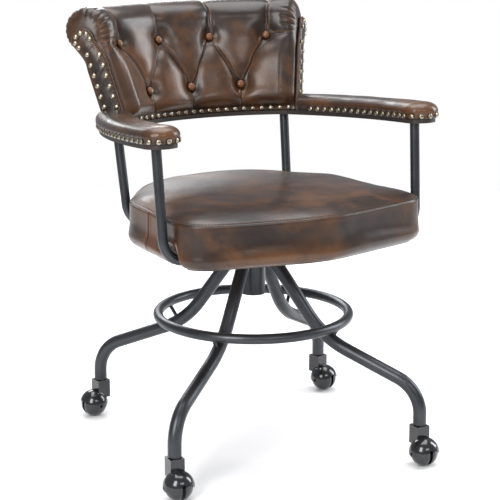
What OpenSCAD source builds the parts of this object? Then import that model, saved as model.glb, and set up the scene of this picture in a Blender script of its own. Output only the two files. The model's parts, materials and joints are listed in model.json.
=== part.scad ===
/* [Base] */
// Radius of the circle through the four caster stems
base_r = 340; // [280:1:400]
// Angle of the first leg, seen from above, counted from the +X axis
base_turn = -145.8; // [-180:0.1:180]
// Diameter of the leg tubes
leg_d = 25; // [19:0.5:26]
// Wall of the leg tubes
leg_wall = 2; // [1.5:0.1:3]
// Height of the leg tubes' lower ends above the floor
leg_end_z = 76; // [72:1:100]
// Length of the upright stretch at the foot of each leg
leg_foot = 18; // [10:1:40]
// Height at which the leg axes meet the swivel axis
leg_top_z = 362; // [340:1:400]
// Length of the near-level stretch beside the hub
leg_stub = 29; // [26:1:45]
// Slope of that stretch below level
slope_stub = 5; // [0:1:12]
// Slope of the steep upper stretch
slope_steep = 54; // [45:1:60]
// Slope of the shallow lower stretch
slope_low = 22; // [16:1:28]
// Bend radius beside the hub
bend_hub = 35; // [30:1:50]
// Bend radius at the middle of the leg
bend_mid = 180; // [120:5:200]
// Bend radius above the caster
bend_foot = 70; // [45:1:80]
// Radius of the foot ring's centre line
ring_r = 183; // [170:1:190]
// Height of the foot ring's centre line
ring_z = 252; // [240:1:262]
// Diameter of the solid foot ring
ring_d = 19; // [12:0.5:20]
// Wall of the hoop tubes
hoop_wall = 1.5; // [1:0.1:2.5]
// Diameter of the struts between ring and legs
strut_d = 7; // [5:0.5:10]

/* [Hub and swivel] */
// Outer diameter of the hub
hub_d = 46; // [44:1:60]
// Inner diameter of the hub
hub_bore = 38; // [34:1:40]
// Height of the hub tube's lower end
hub_low_z = 294.5; // [285:0.5:305]
// Height of the hub tube's upper end
hub_top_z = 392.5; // [386:0.5:396]
// Diameter of the swivel spindle
spindle_d = 25; // [20:0.5:28]
// Length of each bush inside the hub
bush_l = 18; // [12:1:22]
// Thickness of the bush flanges and plug lip
flange_t = 3; // [2:0.5:4]
// Radial running clearance of shafts in their bores
run_gap = 0.05; // [0.03:0.01:0.1]
// Clearance between faces that turn past each other
face_gap = 0.5; // [0.4:0.05:0.8]
// Clearance between pieces that are fixed together
fit_gap = 0.3; // [0.1:0.05:0.4]
// Side of the square swivel plate
plate_w = 180; // [150:1:200]
// Thickness of the swivel plate and of the seat straps
plate_t = 5; // [4:0.5:8]
// Width of the two straps under the hoops
strap_w = 30; // [20:1:40]
// Distance of each strap from the middle
strap_x = 70; // [55:1:75]
// Diameter of the bolts that hold the seat
bolt_d = 8; // [6:1:10]

/* [Casters] */
// Rolling radius of the wheels
wheel_r = 25; // [20:0.5:26]
// Radius of the ball that the two wheels make up
ball_r = 26; // [21:0.5:28]
// Horizontal distance from stem to axle
trail = 17; // [14:0.5:20]
// Thickness of the web between the wheels
web_t = 5; // [4:0.5:7]
// Thickness of the hood over the wheels
hood_t = 2; // [1.5:0.1:3]
// Width of the square neck around the stem
neck_w = 27; // [24:0.5:30]
// Diameter of the caster stem
stem_d = 10; // [8:0.5:11]
// Diameter of the axle
axle_d = 6; // [5:0.5:8]
// Turn of each caster, counted from the +X axis to the axle's side
caster_turns = [-96, -93, -75, -175];

/* [Seat] */
// Overall width of the seat
seat_w = 528; // [440:1:528]
// Distance from the swivel axis to the front of the seat
seat_front = 265; // [220:1:300]
// Distance from the swivel axis to the back of the seat
seat_back = 225; // [190:1:228]
// Height of the seat's lower edge
seat_low_z = 404; // [400:1:408]
// Height of the seat's upper seam
seat_seam_z = 487; // [478:1:500]
// Height of the crown above the seam
seat_crown = 14; // [6:1:24]
// Radius of the front corners in plan
corner_r = 70; // [50:1:90]
// How far the middle of the front edge bows out
front_bow = 40; // [0:1:45]
// Rounding of the seat's lower edge
seat_round = 22; // [20:1:26]
// Thickness of the seat board
board_t = 12; // [9:1:18]
// How far the board stands inside the upholstery
board_in = 40; // [38:1:44]

/* [Hoops] */
// Diameter of the hoop tubes
hoop_d = 18; // [14:0.5:18]
// Bend radius of the hoop corners
hoop_bend = 42; // [36:1:44]
// Place of the front hoop's level stretch along Y
front_hoop_y = -148; // [-170:1:-130]
// Place of the rear hoop's level stretch along Y
rear_hoop_y = 161; // [158:1:175]
// Backward lean of the front hoop
front_lean = 4.7; // [2:0.1:7]
// Backward lean of the rear hoop
rear_lean = 8.5; // [6:0.1:11]
// Outward slope of the front posts
front_splay = 1.3; // [0.5:0.1:1.6]
// Outward slope of the rear posts
rear_splay = 2.2; // [1:0.1:2.6]
// Half distance between the rear post tops
rear_post_x = 190; // [186:1:200]

/* [Arm rail and arms] */
// Height of the rail's underside at the tilt line
rail_z = 609; // [590:1:660]
// Place of the tilt line along Y
rail_y = 40; // [20:1:60]
// Tilt of the rail, front edge up
rail_tilt = 3; // [0:0.5:6]
// Thickness of the rail board
rail_t = 8; // [6:1:12]
// Width of the arm pads
arm_w = 70; // [60:1:76]
// Height of the arm pads above the board
arm_h = 30; // [26:1:34]
// Distance of the arms' middle line from the swivel axis
arm_x = 278; // [276:1:290]
// Reach of the arm noses in front of the tilt line
arm_reach = 220; // [215:1:250]
// Angle between the arms' rear ends and straight ahead
arm_splay = 27.5; // [26:0.5:34]
// How far the board stands inside the pads
rail_in = 4; // [2:0.5:8]
// Corner radius of the arm pads' top
arm_dome_r = 42; // [40:1:60]

/* [Back] */
// Radius of the shell's inner face at its foot
back_r = 295; // [288:1:300]
// Distance of the back's centre of curvature in front of the tilt line
back_cy = 88; // [80:1:94]
// Half angle of the back's sweep
back_sweep = 44; // [42:1:48]
// Lean of the back against the rail
back_lean = 16.5; // [12:0.5:20]
// Thickness of the curved shell
shell_t = 10; // [6:1:12]
// Thickness of the padding in front of the shell
pad_t = 46; // [42:1:50]
// Thickness of the outer panel
outer_t = 4; // [2:0.5:6]
// Radius of the rolled top
roll_r = 45; // [36:1:48]
// Height of the roll's middle above the rail's underside
roll_z = 187; // [180:1:215]
// Thickness of the facing panels
facing_t = 8; // [5:1:10]
// Radius of the facing panels' round heads
facing_head_r = 21; // [16:1:24]
// Angle between neighbouring tuft buttons
tuft_pitch = 21.7; // [18:0.1:22]
// Height of the upper tufts above the rail's underside
tuft_high_z = 158; // [148:1:162]
// Height of the lower tufts above the rail's underside
tuft_low_z = 63; // [58:1:80]
// Depth of the tufts
tuft_depth = 14; // [8:1:18]
// Diameter of the tuft buttons
button_d = 16; // [12:1:18]

/* [Nails] */
// Diameter of the nail heads
nail_d = 10; // [7:0.5:10.5]
// Height of the nail heads
nail_h = 2.4; // [1.5:0.1:3]
// Distance between neighbouring nails
nail_pitch = 18; // [15:0.5:24]

/* [Hidden] */
$fn = 64;

// colours
GUNMETAL = "#3d4046";
STEEL = "#8d9196";
BLACK = "#16171a";
LEATHER = "#4a2c1c";
BRASS = "#b39a6b";
WOOD = "#7d5a3a";
NYLON = "#2a2b2e";

// how far straight stretches reach into bends, and how much thinner they are there
joint_lap = 0.5;
joint_hair = 0.05;

// heights from the hub upwards
bush_top_z = hub_top_z + flange_t;
plate_z = bush_top_z + face_gap;
strap_z = plate_z + plate_t;
hoop_z = strap_z + plate_t + hoop_d / 2;
board_z = hoop_z + hoop_d / 2 + face_gap;
notch_top_z = hoop_z + hoop_bend + 3;
seat_top_z = seat_seam_z + seat_crown;
clip_t = 1.5;
clip_z = hub_low_z + 8;
low_bush_z = clip_z + clip_t + face_gap;

// leg: lengths of the straight stretches that bring the foot to base_r and leg_end_z
hub_bend_x = leg_stub * cos(slope_stub) + bend_hub * (sin(slope_steep) - sin(slope_stub));
hub_bend_z = leg_top_z - leg_stub * sin(slope_stub)
    - bend_hub * (cos(slope_stub) - cos(slope_steep));
run_x = base_r - hub_bend_x - bend_mid * (sin(slope_steep) - sin(slope_low))
    - bend_foot * (1 - sin(slope_low));
run_z = hub_bend_z - leg_end_z - leg_foot - bend_mid * (cos(slope_low) - cos(slope_steep))
    - bend_foot * cos(slope_low);
steep_l = (run_z * cos(slope_low) - run_x * sin(slope_low)) / sin(slope_steep - slope_low);
low_l = (run_x * sin(slope_steep) - run_z * cos(slope_steep)) / sin(slope_steep - slope_low);
LEG_PATH = [[leg_stub, 0, 0], [0, bend_hub, slope_steep - slope_stub], [steep_l, 0, 0],
    [0, bend_mid, slope_low - slope_steep], [low_l, 0, 0], [0, bend_foot, 90 - slope_low],
    [leg_foot, 0, 0]];

// strut: it runs square to the leg, on the line through the middle of the leg's long bend
mid_x = hub_bend_x + steep_l * cos(slope_steep) + bend_mid * sin(slope_steep);
mid_z = hub_bend_z - steep_l * sin(slope_steep) + bend_mid * cos(slope_steep);
ring_to_mid = norm([mid_x - ring_r, mid_z - ring_z]);
strut_slope = atan2(mid_z - ring_z, mid_x - ring_r);

// caster
neck_top_z = leg_end_z - 3;
hood_gap = 0.7;
hood_r = ball_r + hood_gap + hood_t;
wheel_in = web_t / 2 + face_gap + 0.3;
wheel_out = 23;
insert_r = leg_d / 2 - leg_wall - joint_hair - 0.03;
insert_lip = 1.2;

// seat outline: circles whose hull is the plan, given as [x, y, radius]
side_r = 115;
bow_r = 230;
crown_in = 42;
tail_r = 180;
SEAT_CIRCLES = [for (s = [-1, 1]) each [
        [s * (seat_w / 2 - corner_r), -seat_front + front_bow + corner_r, corner_r],
        [s * (seat_w / 2 - 12 - side_r), 10, side_r],
        [s * 30, seat_back - tail_r, tail_r]],
    [0, -seat_front + bow_r, bow_r]];
bolt_y = 45;

// rail and back
rail_w = arm_w - 2 * rail_in;
shell_top = roll_z + 13;
foot_r = back_r - 21;
foot_top = rail_t + 12;
rail_back_in = foot_r - 3;
rail_back_out = back_r + shell_t + outer_t + 12;
end_x = (rail_back_in + rail_back_out) / 2 * sin(back_sweep);
end_y = (rail_back_in + rail_back_out) / 2 * cos(back_sweep) - back_cy;
arm_r = (arm_x - end_x) / (1 - cos(arm_splay));
arm_cy = end_y - arm_r * sin(arm_splay);
nose_y = -arm_reach + arm_w / 2;
outer_top = roll_z - roll_r - 2;
nail_z = rail_t + 5.5;
head_z = roll_z - 19;
function shell_at(z) = back_r + (z - rail_t) * tan(back_lean);
roll_x = shell_at(roll_z) + 4;
head_x = shell_at(head_z) + 9;
facing_in = 24;
facing_out = 16;

// ---- helpers ----

// A bent round bar that starts at the origin along +X. Each step is [length, bend radius, turn];
// a positive turn bends it down, a negative one bends it up. The straight steps are a hair
// thinner than the bends and reach a little way into them, so that the steps join as one solid.
module bar(path, d, i = 0) {
    if (i < len(path)) {
        step = path[i];
        down = step[2] >= 0;
        if (step[1] == 0) {
            start = i > 0 ? -joint_lap : 0;
            end = step[0] + (i < len(path) - 1 ? joint_lap : 0);
            translate([start, 0, 0]) rotate([0, 90, 0]) cylinder(d = d - 2 * joint_hair, h = end - start);
            translate([step[0], 0, 0]) bar(path, d, i + 1);
        } else {
            lift = down ? -step[1] : step[1];
            translate([0, 0, lift]) rotate([90, 0, 0]) rotate([0, 0, down ? 90 - step[2] : -90])
                rotate_extrude(angle = abs(step[2])) translate([step[1], 0]) circle(d = d);
            translate([step[1] * sin(abs(step[2])), 0, lift * (1 - cos(step[2]))])
                rotate([0, step[2], 0]) bar(path, d, i + 1);
        }
    }
}

// a bent tube: the same bar with a smaller one taken out
module tube(path, d, wall) {
    difference() {
        bar(path, d);
        bar(path, d - 2 * wall);
    }
}

module ring(outer, inner, h) {
    difference() {
        cylinder(d = outer, h = h);
        translate([0, 0, -1]) cylinder(d = inner, h = h + 2);
    }
}

module at_leg(k) {
    rotate([0, 0, base_turn + 90 * k]) children();
}

// the caster's own frame: stem on Z at the leg's end, axle out along +X
module at_caster(k) {
    leg_turn = base_turn + 90 * k;
    translate([base_r * cos(leg_turn), base_r * sin(leg_turn), 0])
        rotate([0, 0, caster_turns[k]]) children();
}

// the rail's own frame: its underside is the plane Z = 0, its tilt line the X axis
module on_rail() {
    translate([0, rail_y, rail_z]) rotate([-rail_tilt, 0, 0]) children();
}

// ---- base ----

module hub_tube() {
    color(GUNMETAL) translate([0, 0, hub_low_z]) ring(hub_d, hub_bore, hub_top_z - hub_low_z);
}

module hub_plug() {
    color(BLACK) {
        translate([0, 0, hub_low_z - flange_t]) cylinder(d = hub_d, h = flange_t);
        translate([0, 0, hub_low_z - 0.5]) cylinder(d = hub_bore - 0.04, h = 4);
    }
}

module upper_bush() {
    color(NYLON) difference() {
        union() {
            translate([0, 0, hub_top_z - bush_l]) cylinder(d = hub_bore - 0.04, h = bush_l + 1);
            translate([0, 0, hub_top_z]) cylinder(d = hub_d, h = flange_t);
        }
        translate([0, 0, hub_low_z]) cylinder(d = spindle_d + 2 * run_gap, h = hub_top_z);
    }
}

module lower_bush() {
    color(NYLON) translate([0, 0, low_bush_z])
        ring(hub_bore - 0.04, spindle_d + 2 * run_gap, bush_l);
}

module leg(k) {
    color(GUNMETAL) difference() {
        at_leg(k) translate([0, 0, leg_top_z]) rotate([0, slope_stub, 0])
            tube(LEG_PATH, leg_d, leg_wall);
        cylinder(d = hub_d + 0.04, h = 2 * leg_top_z);
    }
}

module foot_ring() {
    color(GUNMETAL) translate([0, 0, ring_z]) rotate_extrude() translate([ring_r, 0]) circle(d = ring_d);
}

module ring_struts() {
    color(GUNMETAL) difference() {
        for (k = [0:3]) at_leg(k) translate([mid_x, 0, mid_z]) rotate([0, 180 - strut_slope, 0])
            translate([ring_to_mid, 0, 0]) rotate([0, 90, 0])
                cylinder(d = strut_d, h = bend_mid - ring_to_mid);
        translate([0, 0, ring_z]) rotate_extrude() translate([ring_r, 0]) circle(d = ring_d + 0.04);
        for (k = [0:3]) at_leg(k) translate([0, 0, leg_top_z]) rotate([0, slope_stub, 0])
            bar(LEG_PATH, leg_d + 0.04);
    }
}

module insert(k) {
    color(BLACK) at_leg(k) translate([base_r, 0, leg_end_z]) difference() {
        union() {
            translate([0, 0, -insert_lip]) cylinder(d = leg_d, h = insert_lip);
            translate([0, 0, -insert_lip / 2]) cylinder(r = insert_r, h = leg_foot + insert_lip / 2);
        }
        translate([0, 0, -2]) cylinder(d = stem_d + 2 * run_gap, h = leg_foot + 4);
    }
}

// ---- casters ----

module caster(k) {
    color(BLACK) at_caster(k) difference() {
        union() {
            // hood: the upper part of a thin ball
            difference() {
                translate([trail, 0, wheel_r]) sphere(r = hood_r);
                translate([trail, 0, wheel_r]) sphere(r = ball_r + hood_gap);
                translate([trail - 50, 0, wheel_r + 10 - 33]) rotate([0, 90, 0]) cylinder(r = 33, h = 100);
                translate([trail - 50, -50, -50]) cube([100, 100, 50 + wheel_r - 5]);
            }
            // web that carries the axle
            intersection() {
                union() {
                    translate([trail, web_t / 2, wheel_r]) rotate([90, 0, 0]) cylinder(r = 7, h = web_t);
                    translate([trail - 7, -web_t / 2, wheel_r]) cube([14, web_t, ball_r]);
                    translate([-neck_w / 2 + 3, -web_t / 2, wheel_r + 8])
                        cube([trail + neck_w / 2, web_t, ball_r]);
                }
                translate([trail, 0, wheel_r]) sphere(r = ball_r + hood_gap + hood_t / 2);
            }
            // square neck around the stem
            difference() {
                translate([-neck_w / 2, -neck_w / 2, wheel_r + 12])
                    cube([neck_w, neck_w, neck_top_z - wheel_r - 12]);
                translate([trail, 0, wheel_r]) sphere(r = ball_r + hood_gap);
            }
        }
        translate([0, 0, wheel_r + 14]) cylinder(d = stem_d + 0.04, h = 100);
        translate([trail, 50, wheel_r]) rotate([90, 0, 0]) cylinder(d = axle_d + 0.04, h = 100);
    }
}

module stem(k) {
    color(STEEL) at_caster(k) difference() {
        union() {
            translate([0, 0, wheel_r + 14.2]) cylinder(d = stem_d, h = leg_end_z + leg_foot - wheel_r - 15);
            translate([0, 0, neck_top_z])
                cylinder(d = stem_d + 5, h = leg_end_z - neck_top_z - insert_lip - face_gap);
        }
        translate([trail, 0, wheel_r]) sphere(r = ball_r + hood_gap);
    }
}

module axle(k) {
    color(STEEL) at_caster(k) translate([trail, wheel_out - 3, wheel_r]) rotate([90, 0, 0])
        cylinder(d = axle_d, h = 2 * (wheel_out - 3));
}

module wheel(k, side) {
    color(BLACK) at_caster(k) translate([trail, 0, wheel_r]) rotate([-90 * side, 0, 0]) difference() {
        intersection() {
            sphere(r = ball_r);
            translate([0, 0, wheel_in]) cylinder(r = wheel_r, h = wheel_out - wheel_in + 2);
        }
        cylinder(d = axle_d + 2 * run_gap, h = wheel_out - 2);
    }
}

// ---- swivel and seat ----

module spindle() {
    color(STEEL) difference() {
        translate([0, 0, clip_z - 3]) cylinder(d = spindle_d, h = strap_z - clip_z + 3 - 0.5);
        translate([0, 0, clip_z - 0.05]) ring(spindle_d + 2, spindle_d - 3, clip_t + 0.1);
    }
}

module spindle_clip() {
    color(STEEL) translate([0, 0, clip_z]) ring(spindle_d + 7, spindle_d - 3 + 0.04, clip_t);
}

module bolt_places() {
    for (x = [-strap_x, strap_x], y = [-bolt_y, bolt_y]) translate([x, y, 0]) children();
}

module swivel_plate() {
    color(GUNMETAL) difference() {
        translate([-plate_w / 2, -plate_w / 2, plate_z]) cube([plate_w, plate_w, plate_t]);
        cylinder(d = spindle_d + 0.04, h = strap_z + 50);
        bolt_places() cylinder(d = bolt_d + 0.6, h = strap_z + 50);
    }
}

module seat_straps() {
    strap_l = rear_hoop_y - front_hoop_y + hoop_d;
    color(GUNMETAL) difference() {
        for (x = [-strap_x, strap_x])
            translate([x - strap_w / 2, front_hoop_y - hoop_d / 2, strap_z + 0.02])
                cube([strap_w, strap_l, plate_t - 0.07]);
        bolt_places() cylinder(d = bolt_d + 0.6, h = strap_z + 50);
    }
}

module seat_bolts() {
    color(STEEL) bolt_places() {
        // hexagon head below the plate
        translate([0, 0, plate_z - 0.1 - 5.5]) cylinder(d = 2 * bolt_d - 1, h = 5.5, $fn = 6);
        translate([0, 0, plate_z - 1]) cylinder(d = bolt_d, h = board_z + board_t - 2 - plate_z);
        // spacer sleeve between strap and board
        translate([0, 0, strap_z + plate_t])
            cylinder(d = 2 * bolt_d, h = board_z - strap_z - plate_t - 0.1);
    }
}

// the seat's plan as a slab from z0 to z1, drawn in by inset
module seat_slab(inset, z0, z1) {
    hull() for (c = SEAT_CIRCLES)
        translate([c[0], c[1], z0]) cylinder(r = c[2] - inset, h = z1 - z0, $fn = 48);
}

module seat_board() {
    color(WOOD) difference() {
        seat_slab(board_in, board_z, board_z + board_t);
        bolt_places() translate([0, 0, board_z - 1]) cylinder(d = bolt_d + 0.1, h = board_t);
    }
}

// room in the cushion's rim for a hoop: its level stretch passes below the board, its bends rise outside
module hoop_notch(y, lean, half) {
    wide = hoop_d + 2 + (notch_top_z - hoop_z) * tan(lean);
    translate([-300, y - hoop_d / 2 - 1, seat_low_z - 1])
        cube([600, wide, board_z + 2 - seat_low_z]);
    for (s = [-1, 1]) translate([s > 0 ? half - 6 : -half - 144, y - hoop_d / 2 - 1, seat_low_z - 1])
        cube([150, wide, notch_top_z - seat_low_z + 1]);
}

// The cushion is the hull of slabs: rounded at the lower edge, upright up to the seam, and crowned above.
module seat_cushion() {
    steps = 6;
    slab_t = 0.2;
    color(LEATHER) difference() {
        hull() for (c = SEAT_CIRCLES) translate([c[0], c[1], 0]) {
            translate([0, 0, seat_low_z + seat_round])
                cylinder(r = c[2], h = seat_seam_z - seat_low_z - seat_round, $fn = 48);
            for (i = [0:steps - 1]) {
                a = 90 * i / steps;
                translate([0, 0, seat_low_z + seat_round * (1 - cos(a))])
                    cylinder(r = c[2] - seat_round * (1 - sin(a)), h = slab_t, $fn = 48);
                translate([0, 0, seat_seam_z + seat_crown * cos(a) - slab_t])
                    cylinder(r = c[2] - crown_in * (1 - sin(a)), h = slab_t, $fn = 48);
            }
        }
        seat_slab(board_in - fit_gap, seat_low_z - 1, board_z + board_t + fit_gap);
        hoop_notch(front_hoop_y, front_lean,
            level_half(arm_x, hoop_height(front_hoop_y, front_lean), front_splay));
        hoop_notch(rear_hoop_y, rear_lean,
            level_half(rear_post_x, hoop_height(rear_hoop_y, rear_lean), rear_splay));
    }
}

// ---- hoops ----

// lengths of a hoop's posts and of half its level stretch, in its own plane
function post_l(height, splay) = (height - hoop_bend * (1 - sin(splay))) / cos(splay);
function level_half(top_x, height, splay) =
    top_x - hoop_bend * cos(splay) - post_l(height, splay) * sin(splay);

// height of the rail's underside above the hoop's level stretch, along the leaning plane
function hoop_height(y, lean) =
    (rail_z - hoop_z - (y - rail_y) * tan(rail_tilt)) / (cos(lean) + sin(lean) * tan(rail_tilt));

module hoop_bars(y, lean, splay, top_x, d) {
    height = hoop_height(y, lean);
    half = level_half(top_x, height, splay);
    side = [[0, hoop_bend, splay - 90], [post_l(height, splay) + 12, 0, 0]];
    translate([0, y, hoop_z]) rotate([-lean, 0, 0]) {
        translate([-half - joint_lap, 0, 0]) rotate([0, 90, 0])
            cylinder(d = d - 2 * joint_hair, h = 2 * (half + joint_lap));
        translate([half, 0, 0]) bar(side, d);
        mirror([1, 0, 0]) translate([half, 0, 0]) bar(side, d);
    }
}

module above_rail(z) {
    on_rail() translate([-500, -500, z]) cube([1000, 1000, 100]);
}

module hoop(y, lean, splay, top_x) {
    color(GUNMETAL) difference() {
        hoop_bars(y, lean, splay, top_x, hoop_d);
        hoop_bars(y, lean, splay, top_x, hoop_d - 2 * hoop_wall);
        above_rail(-0.02);
    }
}

module front_hoop() {
    hoop(front_hoop_y, front_lean, front_splay, arm_x);
}

module rear_hoop() {
    hoop(rear_hoop_y, rear_lean, rear_splay, rear_post_x);
}

// where a post's axis meets the rail's underside, in the rail's frame
function post_y(y, lean) =
    (y + hoop_height(y, lean) * sin(lean) - rail_y) / cos(rail_tilt);

module post_tops() {
    for (s = [-1, 1]) {
        translate([s * arm_x, post_y(front_hoop_y, front_lean), 0]) children();
        translate([s * rear_post_x, post_y(rear_hoop_y, rear_lean), 0]) children();
    }
}

module post_plugs() {
    bore_d = hoop_d - 2 * hoop_wall - 0.04;
    color(STEEL) difference() {
        intersection() {
            union() {
                hoop_bars(front_hoop_y, front_lean, front_splay, arm_x, bore_d);
                hoop_bars(rear_hoop_y, rear_lean, rear_splay, rear_post_x, bore_d);
            }
            on_rail() translate([-500, -500, -20]) cube([1000, 1000, 19.98]);
        }
        on_rail() post_tops() translate([0, 0, -16]) cylinder(d = 5.04, h = 20);
    }
}

module rail_screws() {
    color(STEEL) on_rail() post_tops() {
        translate([0, 0, -15]) cylinder(d = 5, h = 15 + rail_t - 3);
        translate([0, 0, rail_t - 3.2]) cylinder(d = 11, h = 3);
    }
}

// ---- rail, arms and back, in the rail's frame ----

// One arm's run along the right-hand side, with the given section swept along it. The straight
// stretch is thinner by $thin and laps into its neighbours, as in a bar.
module arm_run(splay_from = 0) {
    translate([arm_x - arm_r, arm_cy, 0]) rotate_extrude(angle = arm_splay + splay_from)
        translate([arm_r, 0]) children();
    translate([arm_x, arm_cy + joint_lap, 0]) rotate([90, 0, 0])
        linear_extrude(arm_cy - nose_y + 2 * joint_lap) let ($thin = joint_hair) children();
    translate([arm_x, nose_y, 0]) rotate([0, 0, 180]) rotate_extrude(angle = 180) intersection() {
        children();
        translate([0, -10]) square([arm_w, 100]);
    }
}

module both_sides() {
    children();
    mirror([1, 0, 0]) children();
}

$thin = 0;

module rail_section() {
    translate([-rail_w / 2 + $thin, $thin]) square([rail_w - 2 * $thin, rail_t - 2 * $thin]);
}

module rail_board() {
    color(WOOD) on_rail() difference() {
        union() {
            translate([0, -back_cy, 0]) rotate([0, 0, 90 - back_sweep]) rotate_extrude(angle = 2 * back_sweep)
                translate([rail_back_in, 0]) square([rail_back_out - rail_back_in, rail_t]);
            both_sides() {
                translate([end_x, end_y, 0]) cylinder(d = rail_w - 4, h = rail_t);
                arm_run() rail_section();
            }
        }
        post_tops() {
            translate([0, 0, -1]) cylinder(d = 5.6, h = rail_t + 2);
            translate([0, 0, rail_t - 3.25]) cylinder(d = 11.4, h = 4);
        }
    }
}

module arm_section() {
    intersection() {
        translate([0, rail_t + arm_h - arm_dome_r]) circle(r = arm_dome_r - $thin);
        translate([-arm_w / 2 + $thin, rail_t + 0.05 + $thin]) square([arm_w - 2 * $thin, 2 * arm_h]);
    }
}

// everything behind the front of the facing panels, on the right-hand side
module behind_facing() {
    translate([0, -back_cy, 0]) rotate([0, 0, 90 - back_sweep])
        translate([0, -facing_t - 2 * fit_gap, -1]) cube([500, 500, 400]);
}

module arm_pad() {
    on_rail() difference() {
        arm_run(2) arm_section();
        behind_facing();
    }
}

module arm_pad_right() {
    color(LEATHER) arm_pad();
}

module arm_pad_left() {
    color(LEATHER) mirror([1, 0, 0]) arm_pad();
}

// sweeps a section around the back, from one end plane to the other
module back_run() {
    on_rail() translate([0, -back_cy, 0]) rotate([0, 0, 90 - back_sweep])
        rotate_extrude(angle = 2 * back_sweep) children();
}

// a leaning strip between two distances from the shell's inner face
module strip(from, to, low, high) {
    polygon([[shell_at(low) + from, low], [shell_at(high) + from, high],
        [shell_at(high) + to, high], [shell_at(low) + to, low]]);
}

module back_shell() {
    color(WOOD) back_run() strip(0, shell_t, rail_t + 0.05, shell_top);
}

// the padding in front of the shell, up to the middle of the roll
module pad_section() {
    pad_top = roll_z - roll_r / 2;
    polygon([[foot_r, rail_t + 0.1], [foot_r, foot_top], [shell_at(45) - pad_t, 45],
        [shell_at(pad_top) - pad_t, pad_top], [roll_x, roll_z + roll_r - 8], [roll_x, roll_z],
        [shell_at(rail_t), rail_t + 0.1]]);
}

// the seven tufts, each with its axis along +X towards the sitter
module tufts() {
    on_rail() translate([0, -back_cy, 0]) {
        for (a = [-1.5:1:1.5]) rotate([0, 0, 90 + a * tuft_pitch])
            translate([shell_at(tuft_high_z) - pad_t + tuft_depth, 0, tuft_high_z]) children();
        for (a = [-1:1:1]) rotate([0, 0, 90 + a * tuft_pitch])
            translate([shell_at(tuft_low_z) - pad_t + tuft_depth, 0, tuft_low_z]) children();
    }
}

module back_cushion() {
    color(LEATHER) difference() {
        union() {
            back_run() pad_section();
            back_run() translate([roll_x, roll_z]) circle(r = roll_r);
        }
        back_run() strip(-fit_gap, shell_t + fit_gap, rail_t - 5, shell_top + fit_gap);
        tufts() rotate([0, back_lean - 90, 0])
            cylinder(d1 = button_d + 2, d2 = button_d + 30, h = tuft_depth + 6);
    }
}

module tuft_buttons() {
    color(LEATHER) tufts() rotate([0, back_lean - 90, 0]) {
        translate([0, 0, 0.1]) cylinder(d = button_d, h = 2.5);
        translate([0, 0, 2.6]) cylinder(d1 = button_d, d2 = button_d / 2, h = 2.5);
    }
}

module back_outer() {
    color(LEATHER) back_run()
        strip(shell_t + fit_gap, shell_t + fit_gap + outer_t, rail_t + 0.1, outer_top);
}

module facing_neck() {
    polygon([[shell_at(rail_t) - facing_in, rail_t + 0.1],
        [shell_at(head_z - 26) - facing_in, head_z - 26],
        [head_x - facing_head_r, head_z], [head_x, head_z], [head_x + 15, head_z - 14],
        [shell_at(head_z - 36) + facing_out + 2, head_z - 36],
        [shell_at(rail_t) + facing_out, rail_t + 0.1]]);
}

module facing() {
    on_rail() translate([0, -back_cy, 0]) rotate([0, 0, 90 - back_sweep])
        translate([0, -fit_gap, 0]) rotate([90, 0, 0]) {
            linear_extrude(facing_t) facing_neck();
            translate([head_x, head_z, 0]) cylinder(r = facing_head_r, h = facing_t);
        }
}

module facing_right() {
    color(LEATHER) facing();
}

module facing_left() {
    color(LEATHER) mirror([1, 0, 0]) facing();
}

// ---- nails ----

// one nail head on the plane X = 0, standing out along +X
module nail() {
    translate([0.1, 0, 0]) rotate([0, 90, 0]) cylinder(d1 = nail_d, d2 = nail_d / 2.2, h = nail_h);
}

module arm_nails() {
    half_w = arm_w / 2;
    arc_n = floor(PI * arm_r * (arm_splay - 2.5) / 180 / nail_pitch);
    arc_step = nail_pitch / arm_r * 180 / PI;
    run_n = floor((arm_cy - nose_y) / nail_pitch);
    run_step = (arm_cy - nose_y) / max(run_n, 1);
    nose_n = round(PI * half_w / nail_pitch);
    color(BRASS) on_rail() both_sides() {
        for (i = [0:arc_n - 1], s = [-1, 1])
            translate([arm_x - arm_r, arm_cy, nail_z]) rotate([0, 0, i * arc_step])
                translate([arm_r + s * half_w, 0, 0]) scale([s, 1, 1]) nail();
        for (i = [1:run_n - 1], s = [-1, 1])
            translate([arm_x + s * half_w, arm_cy - i * run_step, nail_z]) scale([s, 1, 1]) nail();
        for (i = [0:nose_n])
            translate([arm_x, nose_y, nail_z]) rotate([0, 0, -180 * i / nose_n])
                translate([half_w, 0, 0]) nail();
    }
}

// a row of nails around the back, at radius r, facing in (-1) or out (1)
module nail_arc(r, side, margin) {
    sweep = 2 * back_sweep - 2 * margin;
    n = floor(PI * r * sweep / 180 / nail_pitch);
    for (i = [0:n]) rotate([0, 0, 90 - sweep / 2 + sweep * i / n])
        translate([r, 0, nail_z]) scale([side, 1, 1]) nail();
}

module back_nails() {
    color(BRASS) on_rail() translate([0, -back_cy, 0]) {
        nail_arc(foot_r - 0.1, -1, 2.5);
        nail_arc(shell_at(nail_z + nail_d / 2) + shell_t + fit_gap + outer_t + 0.3, 1, 1.5);
    }
}

module facing_nails() {
    rows = floor((roll_z - 45 - nail_z - 30) / nail_pitch);
    color(BRASS) on_rail() both_sides() translate([0, -back_cy, 0]) rotate([0, 0, 90 - back_sweep])
        translate([0, -fit_gap - facing_t, 0]) rotate([0, 0, -90]) {
            for (i = [0:rows], s = [-facing_in + 8, facing_out - 8]) {
                z = nail_z + 30 + i * (roll_z - 45 - nail_z - 30) / rows;
                translate([0, shell_at(z) + s, z]) nail();
            }
            for (a = [-60, -15, 30, 75, 120, 165])
                translate([0, head_x + (facing_head_r - 6) * cos(a),
                    head_z + (facing_head_r - 6) * sin(a)]) nail();
        }
}

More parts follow.
